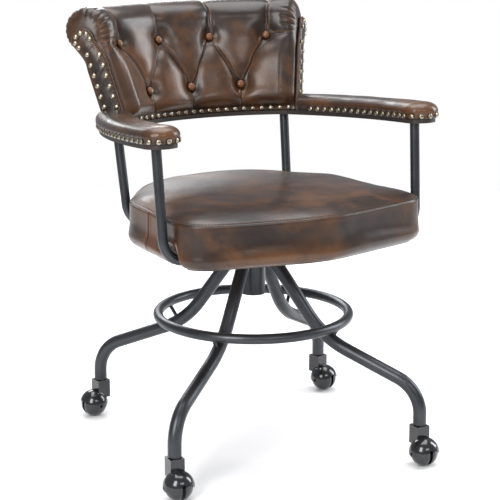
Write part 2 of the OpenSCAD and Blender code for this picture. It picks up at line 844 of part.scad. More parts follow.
hub_tube();
hub_plug();
upper_bush();
lower_bush();
leg(0);  // leg_a
leg(1);  // leg_b
leg(2);  // leg_c
leg(3);  // leg_d
foot_ring();
ring_struts();
insert(0);  // insert_a
insert(1);  // insert_b
insert(2);  // insert_c
insert(3);  // insert_d
caster(0);  // caster_a
caster(1);  // caster_b
caster(2);  // caster_c
caster(3);  // caster_d
stem(0);  // stem_a
stem(1);  // stem_b
stem(2);  // stem_c
stem(3);  // stem_d
axle(0);  // axle_a
axle(1);  // axle_b
axle(2);  // axle_c
axle(3);  // axle_d
wheel(0, 1);  // wheel_a_left
wheel(0, -1);  // wheel_a_right
wheel(1, 1);  // wheel_b_left
wheel(1, -1);  // wheel_b_right
wheel(2, 1);  // wheel_c_left
wheel(2, -1);  // wheel_c_right
wheel(3, 1);  // wheel_d_left
wheel(3, -1);  // wheel_d_right
spindle();
spindle_clip();
swivel_plate();
seat_straps();
seat_bolts();
front_hoop();
rear_hoop();
post_plugs();
rail_screws();
seat_board();
seat_cushion();
rail_board();
arm_pad_left();
arm_pad_right();
back_shell();
back_cushion();
back_outer();
facing_left();
facing_right();
tuft_buttons();
facing_nails();
arm_nails();
back_nails();
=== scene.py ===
import json
import math

import bmesh
import bpy
import numpy as np
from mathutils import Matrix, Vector
from mathutils.bvhtree import BVHTree
from mathutils.geometry import delaunay_2d_cdt


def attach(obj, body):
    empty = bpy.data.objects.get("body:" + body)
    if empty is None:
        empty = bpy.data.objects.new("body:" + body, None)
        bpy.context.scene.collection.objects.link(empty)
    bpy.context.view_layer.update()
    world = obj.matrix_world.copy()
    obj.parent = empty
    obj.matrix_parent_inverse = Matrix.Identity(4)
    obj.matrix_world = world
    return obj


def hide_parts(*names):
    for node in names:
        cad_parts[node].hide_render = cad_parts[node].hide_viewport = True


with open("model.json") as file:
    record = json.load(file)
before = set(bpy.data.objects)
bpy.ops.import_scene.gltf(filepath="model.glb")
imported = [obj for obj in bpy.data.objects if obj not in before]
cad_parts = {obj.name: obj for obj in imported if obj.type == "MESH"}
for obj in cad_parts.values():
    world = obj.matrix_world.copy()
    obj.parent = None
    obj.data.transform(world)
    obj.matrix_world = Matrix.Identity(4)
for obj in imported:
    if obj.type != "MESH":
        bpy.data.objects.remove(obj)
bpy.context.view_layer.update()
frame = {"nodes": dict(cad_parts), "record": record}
NODES = frame["nodes"]

# ---------------------------------------------------------------- camera
AZ, HEIGHT, DIST, FOCAL_PX = math.radians(-31.768), 1.0782, 2.9759, 1601.86
PITCH, YAW = math.radians(-13.288), math.radians(0.120)
SENSOR_MM, PICTURE_PX = 36.0, 500.0


def make_camera():
    cam = bpy.data.objects.new("view_camera", bpy.data.cameras.new("view_camera"))
    bpy.context.scene.collection.objects.link(cam)
    cam.location = (DIST * math.sin(AZ), -DIST * math.cos(AZ), HEIGHT)
    a = AZ + YAW
    ahead = Vector((-math.sin(a) * math.cos(PITCH), math.cos(a) * math.cos(PITCH), math.sin(PITCH)))
    cam.rotation_mode = "QUATERNION"
    cam.rotation_quaternion = ahead.to_track_quat("-Z", "Y")
    cam.data.sensor_width = SENSOR_MM
    cam.data.lens = SENSOR_MM * FOCAL_PX / PICTURE_PX
    bpy.context.scene.camera = cam


make_camera()

# ---------------------------------------------------------------- materials


class Tree:
    """A small helper that builds a material's nodes."""

    def __init__(self, name):
        self.mat = bpy.data.materials.new(name)
        self.mat.use_nodes = True
        self.nt = self.mat.node_tree
        self.shader = self.nt.nodes["Principled BSDF"]
        self.coord = self.nt.nodes.new("ShaderNodeTexCoord").outputs["Object"]

    def set(self, **values):
        for key, value in values.items():
            self.shader.inputs[key.replace("_", " ")].default_value = value

    def link(self, a, b):
        self.nt.links.new(a, b)

    def noise(self, scale, detail=3.0, rough=0.55, distort=0.0, stretch=None):
        n = self.nt.nodes.new("ShaderNodeTexNoise")
        n.inputs["Scale"].default_value = scale
        n.inputs["Detail"].default_value = detail
        n.inputs["Roughness"].default_value = rough
        n.inputs["Distortion"].default_value = distort
        if stretch:
            m = self.nt.nodes.new("ShaderNodeMapping")
            m.inputs["Scale"].default_value = stretch
            self.link(self.coord, m.inputs["Vector"])
            self.link(m.outputs["Vector"], n.inputs["Vector"])
        else:
            self.link(self.coord, n.inputs["Vector"])
        return n.outputs["Fac"]

    def cells(self, scale):
        n = self.nt.nodes.new("ShaderNodeTexVoronoi")
        n.inputs["Scale"].default_value = scale
        self.link(self.coord, n.inputs["Vector"])
        return n.outputs["Distance"]

    def attribute(self, name):
        n = self.nt.nodes.new("ShaderNodeAttribute")
        n.attribute_name = name
        return n.outputs["Fac"]

    def ramp(self, value, stops):
        n = self.nt.nodes.new("ShaderNodeValToRGB")
        e = n.color_ramp.elements
        while len(e) < len(stops):
            e.new(0.5)
        for item, (place, colour) in zip(e, stops):
            item.position = place
            item.color = (*colour, 1.0)
        self.link(value, n.inputs["Fac"])
        return n.outputs["Color"]

    def math(self, kind, a, b=None, clamp=False):
        n = self.nt.nodes.new("ShaderNodeMath")
        n.operation = kind
        n.use_clamp = clamp
        for k, v in enumerate((a, b)):
            if v is None:
                continue
            if isinstance(v, (int, float)):
                n.inputs[k].default_value = v
            else:
                self.link(v, n.inputs[k])
        return n.outputs[0]

    def mix(self, factor, a, b):
        n = self.nt.nodes.new("ShaderNodeMix")
        n.data_type = "RGBA"
        for socket, v in ((n.inputs[0], factor), (n.inputs[6], a), (n.inputs[7], b)):
            if isinstance(v, (int, float)):
                socket.default_value = v
            elif isinstance(v, tuple):
                socket.default_value = (*v, 1.0)
            else:
                self.link(v, socket)
        return n.outputs[2]

    def span(self, value, low, high):
        n = self.nt.nodes.new("ShaderNodeMapRange")
        n.inputs["To Min"].default_value = low
        n.inputs["To Max"].default_value = high
        self.link(value, n.inputs["Value"])
        return n.outputs["Result"]

    def bump(self, height, strength, distance, below=None):
        n = self.nt.nodes.new("ShaderNodeBump")
        n.inputs["Strength"].default_value = strength
        n.inputs["Distance"].default_value = distance
        self.link(height, n.inputs["Height"])
        if below is not None:
            self.link(below, n.inputs["Normal"])
        return n.outputs["Normal"]


def leather(name, dark, mid, tan, rough=(0.22, 0.38), spread=0.0):
    """Antique leather: mottled brown, rubbed lighter by the 'wear' attribute, darkened with painted shade in
    creases, seams and hollows.
    """
    t = Tree(name)
    big = t.noise(7.0, 4.0, 0.6, 0.6)
    small = t.noise(38.0, 5.0, 0.65)
    mottle = t.math("ADD", t.math("MULTIPLY", big, 0.72), t.math("MULTIPLY", small, 0.28))
    mottle = t.math("ADD", mottle, spread)
    base = t.ramp(mottle, [(0.36, dark), (0.50, mid), (0.70, tan)])
    wear = t.attribute("wear")
    rubbed = t.math("MULTIPLY", wear, t.math("ADD", small, 0.45), True)
    base = t.mix(rubbed, base, tan)
    crease = t.attribute("crease")
    # painted shade: creases, seams and hollows are darkened towards a near-black brown
    base = t.mix(t.math("MULTIPLY", crease, 0.88, True), base, tuple(0.25 * c for c in dark))
    t.link(base, t.shader.inputs["Base Color"])
    grain = t.cells(520.0)
    pores = t.noise(1100.0, 2.0, 0.5)
    r = t.math("ADD", t.math("MULTIPLY", small, rough[1] - rough[0]), rough[0])
    r = t.math("ADD", r, t.math("MULTIPLY", grain, 0.10), True)
    t.link(r, t.shader.inputs["Roughness"])
    soft = t.bump(t.noise(60.0, 3.0, 0.5), 0.16, 0.0016)
    fine = t.bump(grain, 0.22, 0.0005, soft)
    fine = t.bump(pores, 0.10, 0.0003, fine)
    t.link(fine, t.shader.inputs["Normal"])
    t.set(Specular_IOR_Level=0.42, Coat_Weight=0.14, Coat_Roughness=0.18)
    return t.mat


def painted_tube(name, low, high, metallic, rough, grain=90.0):
    """Satin metal finish: faint cloudy colour, brushed roughness and a very fine orange-peel bump."""
    t = Tree(name)
    cloud = t.noise(14.0, 4.0, 0.6)
    fine = t.noise(grain, 3.0, 0.6)
    t.link(t.ramp(cloud, [(0.30, low), (0.72, high)]), t.shader.inputs["Base Color"])
    t.link(t.span(fine, rough[0], rough[1]), t.shader.inputs["Roughness"])
    t.link(t.bump(t.noise(900.0, 2.0), 0.05, 0.0003), t.shader.inputs["Normal"])
    t.set(Metallic=metallic)
    return t.mat


def brass(name):
    """Antique nail heads: bright on the dome, darker towards the rim, partly tarnish and partly painted
    shade where the head meets the leather.
    """
    t = Tree(name)
    cloud = t.noise(160.0, 3.0, 0.6)
    metal = t.ramp(cloud, [(0.30, (0.22, 0.185, 0.13)), (0.70, (0.50, 0.45, 0.35))])
    # tarnish together with painted shade darkens the rim
    metal = t.mix(t.attribute("crease"), metal, (0.035, 0.026, 0.018))
    t.link(metal, t.shader.inputs["Base Color"])
    t.link(t.span(cloud, 0.20, 0.42), t.shader.inputs["Roughness"])
    t.link(t.bump(t.noise(700.0, 2.0), 0.12, 0.0003), t.shader.inputs["Normal"])
    t.set(Metallic=1.0)
    return t.mat


def moulded(name, colour, rough, coat):
    """Moulded plastic with a faint flow texture and slight scuffing."""
    t = Tree(name)
    cloud = t.noise(40.0, 4.0, 0.6)
    paler = tuple(c * 1.6 + 0.003 for c in colour)
    t.link(t.ramp(cloud, [(0.3, colour), (0.8, paler)]), t.shader.inputs["Base Color"])
    t.link(t.span(t.noise(120.0, 4.0, 0.7), rough[0], rough[1]), t.shader.inputs["Roughness"])
    t.link(t.bump(t.noise(600.0, 2.0), 0.06, 0.0003), t.shader.inputs["Normal"])
    t.set(Coat_Weight=coat, Coat_Roughness=0.08)
    return t.mat


def timber(name, low, high, rough=0.55):
    """Board with a fine straight grain."""
    t = Tree(name)
    grain = t.noise(30.0, 5.0, 0.65, 0.4, (6.0, 1.0, 6.0))
    t.link(t.ramp(grain, [(0.30, low), (0.70, high)]), t.shader.inputs["Base Color"])
    t.link(t.span(grain, rough - 0.08, rough + 0.12), t.shader.inputs["Roughness"])
    t.link(t.bump(grain, 0.15, 0.0005), t.shader.inputs["Normal"])
    return t.mat


# the dark, middle and rubbed tone of each leather
BROWN_TONES = ((0.0070, 0.0038, 0.0028), (0.0225, 0.0104, 0.0058), (0.112, 0.043, 0.0125))
BUTTON_TONES = ((0.020, 0.009, 0.005), (0.058, 0.022, 0.009), (0.150, 0.056, 0.019))
PIPING_TONES = ((0.010, 0.0062, 0.0048), (0.026, 0.014, 0.009), (0.095, 0.042, 0.018))
LEATHER = leather("leather_brown", *BROWN_TONES)
BUTTON = leather("leather_button", *BUTTON_TONES, (0.22, 0.34), 0.05)
PIPING = leather("leather_piping", *PIPING_TONES, (0.30, 0.45))
BRASS = brass("nail_brass")
GUNMETAL = painted_tube("gunmetal", (0.036, 0.038, 0.043), (0.066, 0.069, 0.077), 0.75, (0.28, 0.42))
ZINC = painted_tube("zinc", (0.34, 0.35, 0.36), (0.52, 0.53, 0.54), 1.0, (0.28, 0.42), 60.0)
GLOSS = moulded("gloss_plastic", (0.008, 0.0085, 0.010), (0.12, 0.24), 0.35)
MATT = moulded("matt_plastic", (0.012, 0.012, 0.013), (0.38, 0.55), 0.0)
NYLON = moulded("nylon_plastic", (0.03, 0.03, 0.033), (0.35, 0.5), 0.0)
BOARD = timber("dark_board", (0.010, 0.007, 0.006), (0.030, 0.018, 0.012), 0.5)
PLY = timber("plywood", (0.16, 0.09, 0.045), (0.34, 0.21, 0.11))
THREAD = moulded("thread", (0.075, 0.045, 0.028), (0.55, 0.7), 0.0)

SLOT_MATERIAL = {
    "gunmetal_tube": GUNMETAL, "zinc_steel": ZINC, "antique_brass": BRASS,
    "black_plastic": MATT, "nylon": NYLON, "gloss_black": GLOSS,
    "board_wood": PLY, "dark_board": BOARD,
    "brown_leather": LEATHER, "button_leather": BUTTON,
}
NODE_SLOT = {s["node"]: s["material_slot"] for s in frame["record"]["subparts"]}
for node_name, node_obj in NODES.items():
    node_obj.data.materials.clear()
    node_obj.data.materials.append(SLOT_MATERIAL[NODE_SLOT[node_name]])

# ---------------------------------------------------------------- mesh helpers


def add_piece(name, verts, faces, mat, slot, stands_for=(), smooth=True, **attrs):
    """A piece of the seat's body from points and faces, with one value a point for each attribute."""
    me = bpy.data.meshes.new(name)
    me.from_pydata([tuple(map(float, v)) for v in verts], [], [tuple(map(int, f)) for f in faces])
    me.validate()
    return add_mesh(name, me, mat, slot, stands_for, smooth, **attrs)


def add_mesh(name, me, mat, slot, stands_for=(), smooth=True, **attrs):
    for key, values in attrs.items():
        a = me.attributes.new(key, "FLOAT", "POINT")
        a.data.foreach_set("value", np.asarray(values, np.float32))
    ob = bpy.data.objects.new(name, me)
    bpy.context.scene.collection.objects.link(ob)
    me.materials.append(mat)
    if smooth:
        me.polygons.foreach_set("use_smooth", np.ones(len(me.polygons), bool))
    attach(ob, "seat")
    if stands_for:
        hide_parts(*stands_for)
    return ob


def face_outwards(ob):
    bm = bmesh.new()
    bm.from_mesh(ob.data)
    bmesh.ops.recalc_face_normals(bm, faces=bm.faces)
    bm.to_mesh(ob.data)
    bm.free()
    ob.data.update()


def grid_faces(nu, nv, loop_v=False, start=0):
    """Quads of a grid with nu rows of nv points, row after row."""
    rows, cols = np.arange(nu - 1), np.arange(nv if loop_v else nv - 1)
    i, j = np.meshgrid(rows, cols, indexing="ij")
    k = (j + 1) % nv
    corners = np.stack([i * nv + j, i * nv + k, (i + 1) * nv + k, (i + 1) * nv + j], -1)
    return (corners.reshape(-1, 4) + start).tolist()


def closed_faces(nu, nv):
    """Faces of nu closed rings of nv points, with a cap at each end."""
    faces = grid_faces(nu, nv, True)
    faces.append(list(range(nv))[::-1])
    faces.append([(nu - 1) * nv + j for j in range(nv)])
    return faces


def spline(points, step):
    """A Catmull-Rom curve through points, resampled evenly."""
    p = np.asarray(points, float)
    q = np.vstack([2 * p[0] - p[1], p, 2 * p[-1] - p[-2]])
    out = []
    for i in range(1, len(q) - 2):
        t = np.linspace(0, 1, 24, endpoint=False)[:, None]
        a, b, c, d = q[i - 1], q[i], q[i + 1], q[i + 2]
        curve = 2 * b + (c - a) * t + (2 * a - 5 * b + 4 * c - d) * t**2 + (3 * b - a - 3 * c + d) * t**3
        out.append(0.5 * curve)
    out = np.vstack([*out, p[-1:]])
    return resample(out, step)


def resample(p, step):
    s = np.r_[0, np.cumsum(np.linalg.norm(np.diff(p, axis=0), axis=1))]
    n = max(int(round(s[-1] / step)), 2)
    w = np.linspace(0, s[-1], n + 1)
    return np.stack([np.interp(w, s, p[:, k]) for k in range(p.shape[1])], -1)


def smooth_step(x, a, b):
    t = np.clip((x - a) / (b - a), 0, 1)
    return t * t * (3 - 2 * t)


def to_segment(px, py, a, b):
    """Signed distance of points from the segment a-b, and the share along it."""
    dx, dy = b[0] - a[0], b[1] - a[1]
    t = np.clip(((px - a[0]) * dx + (py - a[1]) * dy) / (dx * dx + dy * dy), 0, 1)
    ex, ey = px - a[0] - t * dx, py - a[1] - t * dy
    return np.hypot(ex, ey) * np.where(dx * ey - dy * ex >= 0, 1, -1), t


def value_noise(p, scale, seed):
    """Smooth, seeded three-dimensional noise between -1 and 1."""
    q = np.asarray(p, float) / scale + seed * 17.31
    i = np.floor(q).astype(np.int64)
    f = q - i
    f = f * f * (3 - 2 * f)
    total = np.zeros(q.shape[:-1])
    for corner in range(8):
        o = np.array([corner & 1, corner >> 1 & 1, corner >> 2 & 1])
        h = (i + o) @ np.array([374761393, 668265263, 2147483647]) + seed * 974711
        h = (h ^ (h >> 13)) * 1274126177 & 0x7FFFFFFF
        w = np.prod(np.where(o, f, 1 - f), axis=-1)
        total += w * ((h % 20011) / 10005.0 - 1)
    return total


def tube_along(path, radius, sides):
    """Points and faces of a round cord along a path."""
    p = np.asarray(path, float)
    tangent = np.gradient(p, axis=0)
    tangent /= np.linalg.norm(tangent, axis=1)[:, None] + 1e-12
    side = np.cross(tangent[0], [0.3, 0.2, 1.0])
    side /= np.linalg.norm(side)
    rings = []
    for i in range(len(p)):
        side = side - tangent[i] * (side @ tangent[i])
        side /= np.linalg.norm(side)
        up = np.cross(tangent[i], side)
        a = np.arange(sides) * 2 * math.pi / sides
        rings.append(p[i] + radius * (np.cos(a)[:, None] * side + np.sin(a)[:, None] * up))
    return np.vstack(rings), closed_faces(len(p), sides)


# ---------------------------------------------------------------- the rail's frame
TILT = math.radians(3.0)
RAIL_Y, RAIL_Z = 0.040, 0.609
BACK_CY, SWEEP, LEAN = 0.088, math.radians(44.0), math.radians(16.5)
RAIL_T, SHELL_R, SHELL_T = 0.008, 0.295, 0.010
PANEL_GAP, FACING_T = 0.0003, 0.0084


def rail(p):
    """From the tilted rail's frame to the part's frame."""
    p = np.asarray(p, float)
    x, y, z = p[..., 0], p[..., 1], p[..., 2]
    c, s = math.cos(TILT), math.sin(TILT)
    return np.stack([x, RAIL_Y + y * c + z * s, RAIL_Z - y * s + z * c], -1)


def shell_at(z):
    """Radius of the shell's inner face at a height above the rail."""
    return SHELL_R + (z - RAIL_T) * math.tan(LEAN)


def around(theta, r, z):
    """Points at an angle from straight back and a radius about the back's upright axis."""
    return np.stack([r * np.sin(theta), -BACK_CY + r * np.cos(theta), z + 0 * theta * r], -1)


# ---------------------------------------------------------------- tufted back
HEAD = np.array([shell_at(0.168) + 0.009, 0.168])
ROLL = np.array([shell_at(0.187) + 0.004, 0.187])
ROLL_R, HEAD_R, PAD_T, NECK_IN = 0.0415, 0.0195, 0.0385, 0.0225
U_R = 0.290
HIGH_Z, LOW_Z, PITCH_U = 0.158, 0.063, U_R * math.radians(21.7)
SHELL_DROP = 0.022
DIAMOND, OVER_ROLL, TO_FOOT, TO_FACING = range(4)
PUFF, PUFF_OVER = 0.0112, 0.0040


def back_profile():
    """The back's section from foot to roll as (r, z), its normals and each point's place on the facing."""
    pts = [(0.2742, 0.0084), (0.2735, 0.019), (0.2695, 0.027)]
    pts += [(shell_at(z) - PAD_T, z) for z in (0.042, 0.060, 0.080, 0.100, 0.120, 0.138)]
    pts += [(0.2990, 0.154), (0.3045, 0.170)]
    for a in (176, *range(160, -75, -18)):
        a = math.radians(a)
        pts.append((ROLL[0] + ROLL_R * math.cos(a), ROLL[1] + ROLL_R * math.sin(a)))
    p = spline([np.array(q) for q in pts], 0.0017)
    t = np.gradient(p, axis=0)
    t /= np.linalg.norm(t, axis=1)[:, None]
    n = np.stack([-t[:, 1], t[:, 0]], -1)
    ang = np.unwrap(np.arctan2(p[:, 1] - ROLL[1], p[:, 0] - ROLL[0]) % (2 * math.pi))
    head = HEAD + HEAD_R * np.stack([np.cos(ang), np.sin(ang)], -1)
    neck = np.stack([shell_at(p[:, 1]) - NECK_IN, p[:, 1]], -1)
    first = np.arange(len(p)) < len(p) * 0.6
    w = np.where(first, smooth_step(p[:, 1], 0.132, 0.176), 1.0)[:, None]
    return p, n, neck * (1 - w) + head * w


def make_back():
    """The tufted padding: u runs round the back, s runs up its section, h is the leather's height."""
    prof, normal, target = back_profile()
    ns = len(prof)
    s = np.r_[0, np.cumsum(np.linalg.norm(np.diff(prof, axis=0), axis=1))]
    front = np.arange(ns) < ns * 0.5
    s_high = s[np.argmin(np.where(front, abs(prof[:, 1] - HIGH_Z), 9))]
    s_low = s[np.argmin(np.where(front, abs(prof[:, 1] - LOW_Z), 9))]
    dome = 0.018
    edge = dome * (1 - np.cos(np.linspace(0, math.pi / 2, 18)))
    half = U_R * SWEEP
    middle = np.linspace(-half + dome, half - dome, 286)[1:-1]
    u = np.r_[-half + edge, middle, (half - edge)[::-1]]
    to_end = half - abs(u)
    uu, ss = np.meshgrid(u, s, indexing="ij")
    tt = np.broadcast_to(to_end[:, None], uu.shape)
    wob = 0.0016 * np.sin(ss / 0.019 + 2.0 * np.sin(uu / 0.05)) + 0.0010 * np.sin(ss / 0.0075 + uu / 0.03)
    pu, ps = uu + wob, ss + 0.0012 * np.sin(uu / 0.016)
    high = [(k * PITCH_U, s_high) for k in (-1.5, -0.5, 0.5, 1.5)]
    low = [(k * PITCH_U, s_low) for k in (-1, 0, 1)]
    top_s = s[-1] * 0.97
    lines = [(high[k + j], low[k], 1 - 2 * j, DIAMOND) for k in range(3) for j in (0, 1)]
    lines += [(h, (h[0] * 1.03, top_s), 1 if h[0] < 0 else -1, OVER_ROLL) for h in high]
    lines += [(b, (b[0], 0.006), 1 if b[0] < 0 else -1, TO_FOOT) for b in low]
    lines += [(high[i], (k * half, s_high + 0.004), k, TO_FACING) for i, k in ((0, -1), (3, 1))]
    steep, gentle, merge = 0.0030, 0.0085, 0.011
    closeness = np.zeros(uu.shape)
    valley = np.zeros(uu.shape)
    # painted shade: darkens the colour along the folds' valleys, in the button dimples, at the foot's seam
    # and in the scroll's gathers
    crease = np.zeros(uu.shape)
    lip = np.zeros(uu.shape)
    for a, b, turn, kind in lines:
        d, t = to_segment(pu, ps, a, b)
        ad = abs(d)
        closeness += np.exp(-ad / merge)
        strength = (1.0, 1.0 - 0.72 * smooth_step(t, 0.05, 0.75), 1.0 - 0.35 * t, 0.9 - 0.3 * t)[kind]
        side = d * turn
        width = np.where(side > 0, steep, gentle)
        valley = np.maximum(valley, strength * np.exp(-ad / width))
        crease = np.maximum(crease, strength**0.5 * np.exp(-((ad / 0.0013) ** 2)))
        lip = np.maximum(lip, strength * np.exp(-(((side - 0.0040) / 0.0019) ** 2)))
    button = np.full(uu.shape, 9.0)
    for b in high + low:
        button = np.minimum(button, np.hypot(uu - b[0], ss - b[1]))
    near = np.maximum(-merge * np.log(closeness + 1e-12), 0.0)
    over = smooth_step(ss, s_high + 0.02, s_high + 0.09)
    hide = smooth_step(ss, s[-1] * 0.99, s[-1] * 0.90)
    foot = smooth_step(ss, 0.006, 0.034)
    puff_h = (PUFF * (1 - over) + PUFF_OVER * over) * foot * hide
    puff = puff_h * (1 - np.exp(-near / 0.0160))
    h = puff - 0.0026 * valley * foot * hide - 0.0110 * np.exp(-((button / 0.0150) ** 1.3))
    h += 0.0011 * lip * foot * hide * (1 - np.exp(-button / 0.012))
    sheet = np.stack([uu, ss, 0 * uu], -1)
    folds = value_noise(sheet * [1, 0.45, 1], 0.021, 3) * np.exp(-button / 0.034)
    h += 0.0011 * folds * foot
    h += 0.0007 * value_noise(sheet, 0.045, 5) * foot
    # the ends round in to the facing panels, gathered round the scroll
    k = np.sqrt(np.clip(1 - (1 - np.clip(tt / dome, 0, 1)) ** 2, 0, 1))
    h = h * smooth_step(tt, 0.004, 0.034)
    base = prof[None] + normal[None] * h[..., None]
    p = target[None] + (base - target[None]) * k[..., None]
    ang = np.arctan2(p[..., 1] - HEAD[1], p[..., 0] - HEAD[0])
    scroll = smooth_step(ss, s_high - 0.01, s_high + 0.02)
    scroll = scroll * smooth_step(tt, 0.0005, 0.008) * smooth_step(tt, 0.038, 0.012)
    wave = 0.5 + 0.5 * np.cos(24 * ang + 1.3 * np.sin(3 * ang + np.sign(uu)))
    gather = wave**3.5 * scroll
    p -= normal[None] * (0.0026 * gather * (1 - 0.4 * k))[..., None]
    # painted shade in the gathers round the scroll
    crease = np.maximum(crease, 0.85 * wave**14 * scroll)
    theta = uu / U_R
    xyz = around(theta, p[..., 0], p[..., 1])
    # close the section round the shell: height, distance from its inner face, 1 where the height drops
    drop = SHELL_DROP * smooth_step(to_end, 0.026, 0.008)
    hidden = [(0.1435, 0.0106, 0), (0.1990, 0.0106, 1), (0.2006, 0.0050, 1),
              (0.1990, -0.0004, 1), (0.1000, -0.0004, 0), (0.0085, -0.0004, 0)]
    inner = []
    for z0, off_shell, falls in hidden:
        z = z0 - falls * drop
        inner.append(around(theta[:, 0], shell_at(z) + off_shell, z))
    xyz = np.concatenate([xyz, np.stack(inner, 1)], 1)
    zero = np.zeros((len(u), len(hidden)))
    rub = np.clip(0.95 * lip * (1 - crease), 0, 1) * foot
    bulge = smooth_step(puff / PUFF, 0.55, 1.0)
    patch = value_noise(sheet, 0.05, 9)
    rub = np.maximum(rub * 0.75, 0.46 * bulge * smooth_step(patch, -0.25, 0.7) * (1 - 0.6 * over))
    low_band = np.exp(-(((ss - s_low * 0.42) / 0.020) ** 2))
    rub = np.maximum(rub, 0.55 * low_band * smooth_step(patch, -0.9, 0.4))
    # painted shade in the dimples round the buttons and along the seam at the foot
    crease = np.maximum(crease, 0.75 * np.exp(-((button / 0.011) ** 2)))
    crease = np.maximum(crease, 0.55 * np.exp(-((ss - 0.010) / 0.004) ** 2))
    dark = np.concatenate([np.clip(crease, 0, 1), zero], 1).ravel()
    worn = np.concatenate([np.clip(rub, 0, 1), zero], 1).ravel()
    ob = add_piece("back_padding", rail(xyz).reshape(-1, 3), closed_faces(len(u), xyz.shape[1]), LEATHER,
                   "brown_leather", stands_for=["back_cushion"], wear=worn, crease=dark)
    face_outwards(ob)


# ---------------------------------------------------------------- shell inside the back
def make_shell():
    """The curved shell; its top edge drops near the ends, where the padding rounds in to the facings."""
    theta = np.linspace(-SWEEP, SWEEP, 160)
    drop = SHELL_DROP * smooth_step((SWEEP - abs(theta)) * U_R, 0.030, 0.010)
    low, high = 0.00805 + 0 * theta, 0.1995 - drop
    corners = [(low, 0.0), (low, SHELL_T), (high, SHELL_T), (high, 0.0)]
    xyz = np.stack([around(theta, shell_at(z) + depth, z) for z, depth in corners], 1)
    ob = add_piece("back_inner_shell", rail(xyz).reshape(-1, 3), closed_faces(len(theta), len(corners)), PLY,
                   "board_wood", stands_for=["back_shell"], smooth=False)
    face_outwards(ob)


# ---------------------------------------------------------------- outer panel of the back
def make_outer():
    """The leather panel outside the shell, thicker away from its edges."""
    zs = np.linspace(0.0085, 0.1425, 40)
    u = np.linspace(-SWEEP, SWEEP, 200)
    th, zz = np.meshgrid(u, zs, indexing="ij")
    edge = np.minimum((SWEEP - abs(th)) * U_R, np.minimum(zz - 0.0080, 0.1440 - zz))
    thick = 0.0042 + 0.0026 * (1 - np.exp(-np.clip(edge, 0, 1) / 0.018))
    thick += 0.0006 * value_noise(np.stack([th * U_R, zz, 0 * zz], -1), 0.05, 12)
    panel_r = shell_at(zz) + SHELL_T + PANEL_GAP
    outer = around(th, panel_r + thick, zz)
    inner = around(th, panel_r + 0.0004, zz)
    xyz = np.concatenate([outer, inner[:, ::-1]], 1)
    rubbed = smooth_step(value_noise(np.stack([th * U_R, zz, 0 * zz], -1), 0.06, 4), 0.0, 0.8)
    worn = np.concatenate([0.25 * rubbed, 0 * zz], 1).ravel()
    # painted shade along the panel's edges, where it meets the parts round it
    dark = np.concatenate([0.6 * np.exp(-edge / 0.003), 0 * zz], 1).ravel()
    ob = add_piece("back_outer_panel", rail(xyz).reshape(-1, 3), closed_faces(len(u), xyz.shape[1]), LEATHER,
                   "brown_leather", stands_for=["back_outer"], wear=worn, crease=dark)
    face_outwards(ob)


# ---------------------------------------------------------------- facing panels
FACING_IN, FACING_OUT, FACING_HEAD_R, GRID = 0.024, 0.0165, 0.021, 0.0024
CORD_R, CORD_SIDES = 0.0017, 8


def facing_outline():
    """The panel's edge as (r, z), from its lower inner corner round the head to the lower outer one."""
    inner = [(shell_at(z) - FACING_IN, z) for z in (0.0085, 0.04, 0.075, 0.105, 0.136)]
    head = [tuple(HEAD + FACING_HEAD_R * np.array([math.cos(math.radians(a)), math.sin(math.radians(a))]))
            for a in (176, 150, 122, 94, 66, 38, 10, -14)]
    outer = [(shell_at(z) + FACING_OUT, z) for z in (0.132, 0.110, 0.08, 0.045, 0.0085)]
    side = spline([np.array(q) for q in [*inner, *head, *outer]], 0.002)
    bottom = resample(np.array([side[-1], side[0]]), 0.002)[1:-1]
    return np.vstack([side, bottom]), len(side)


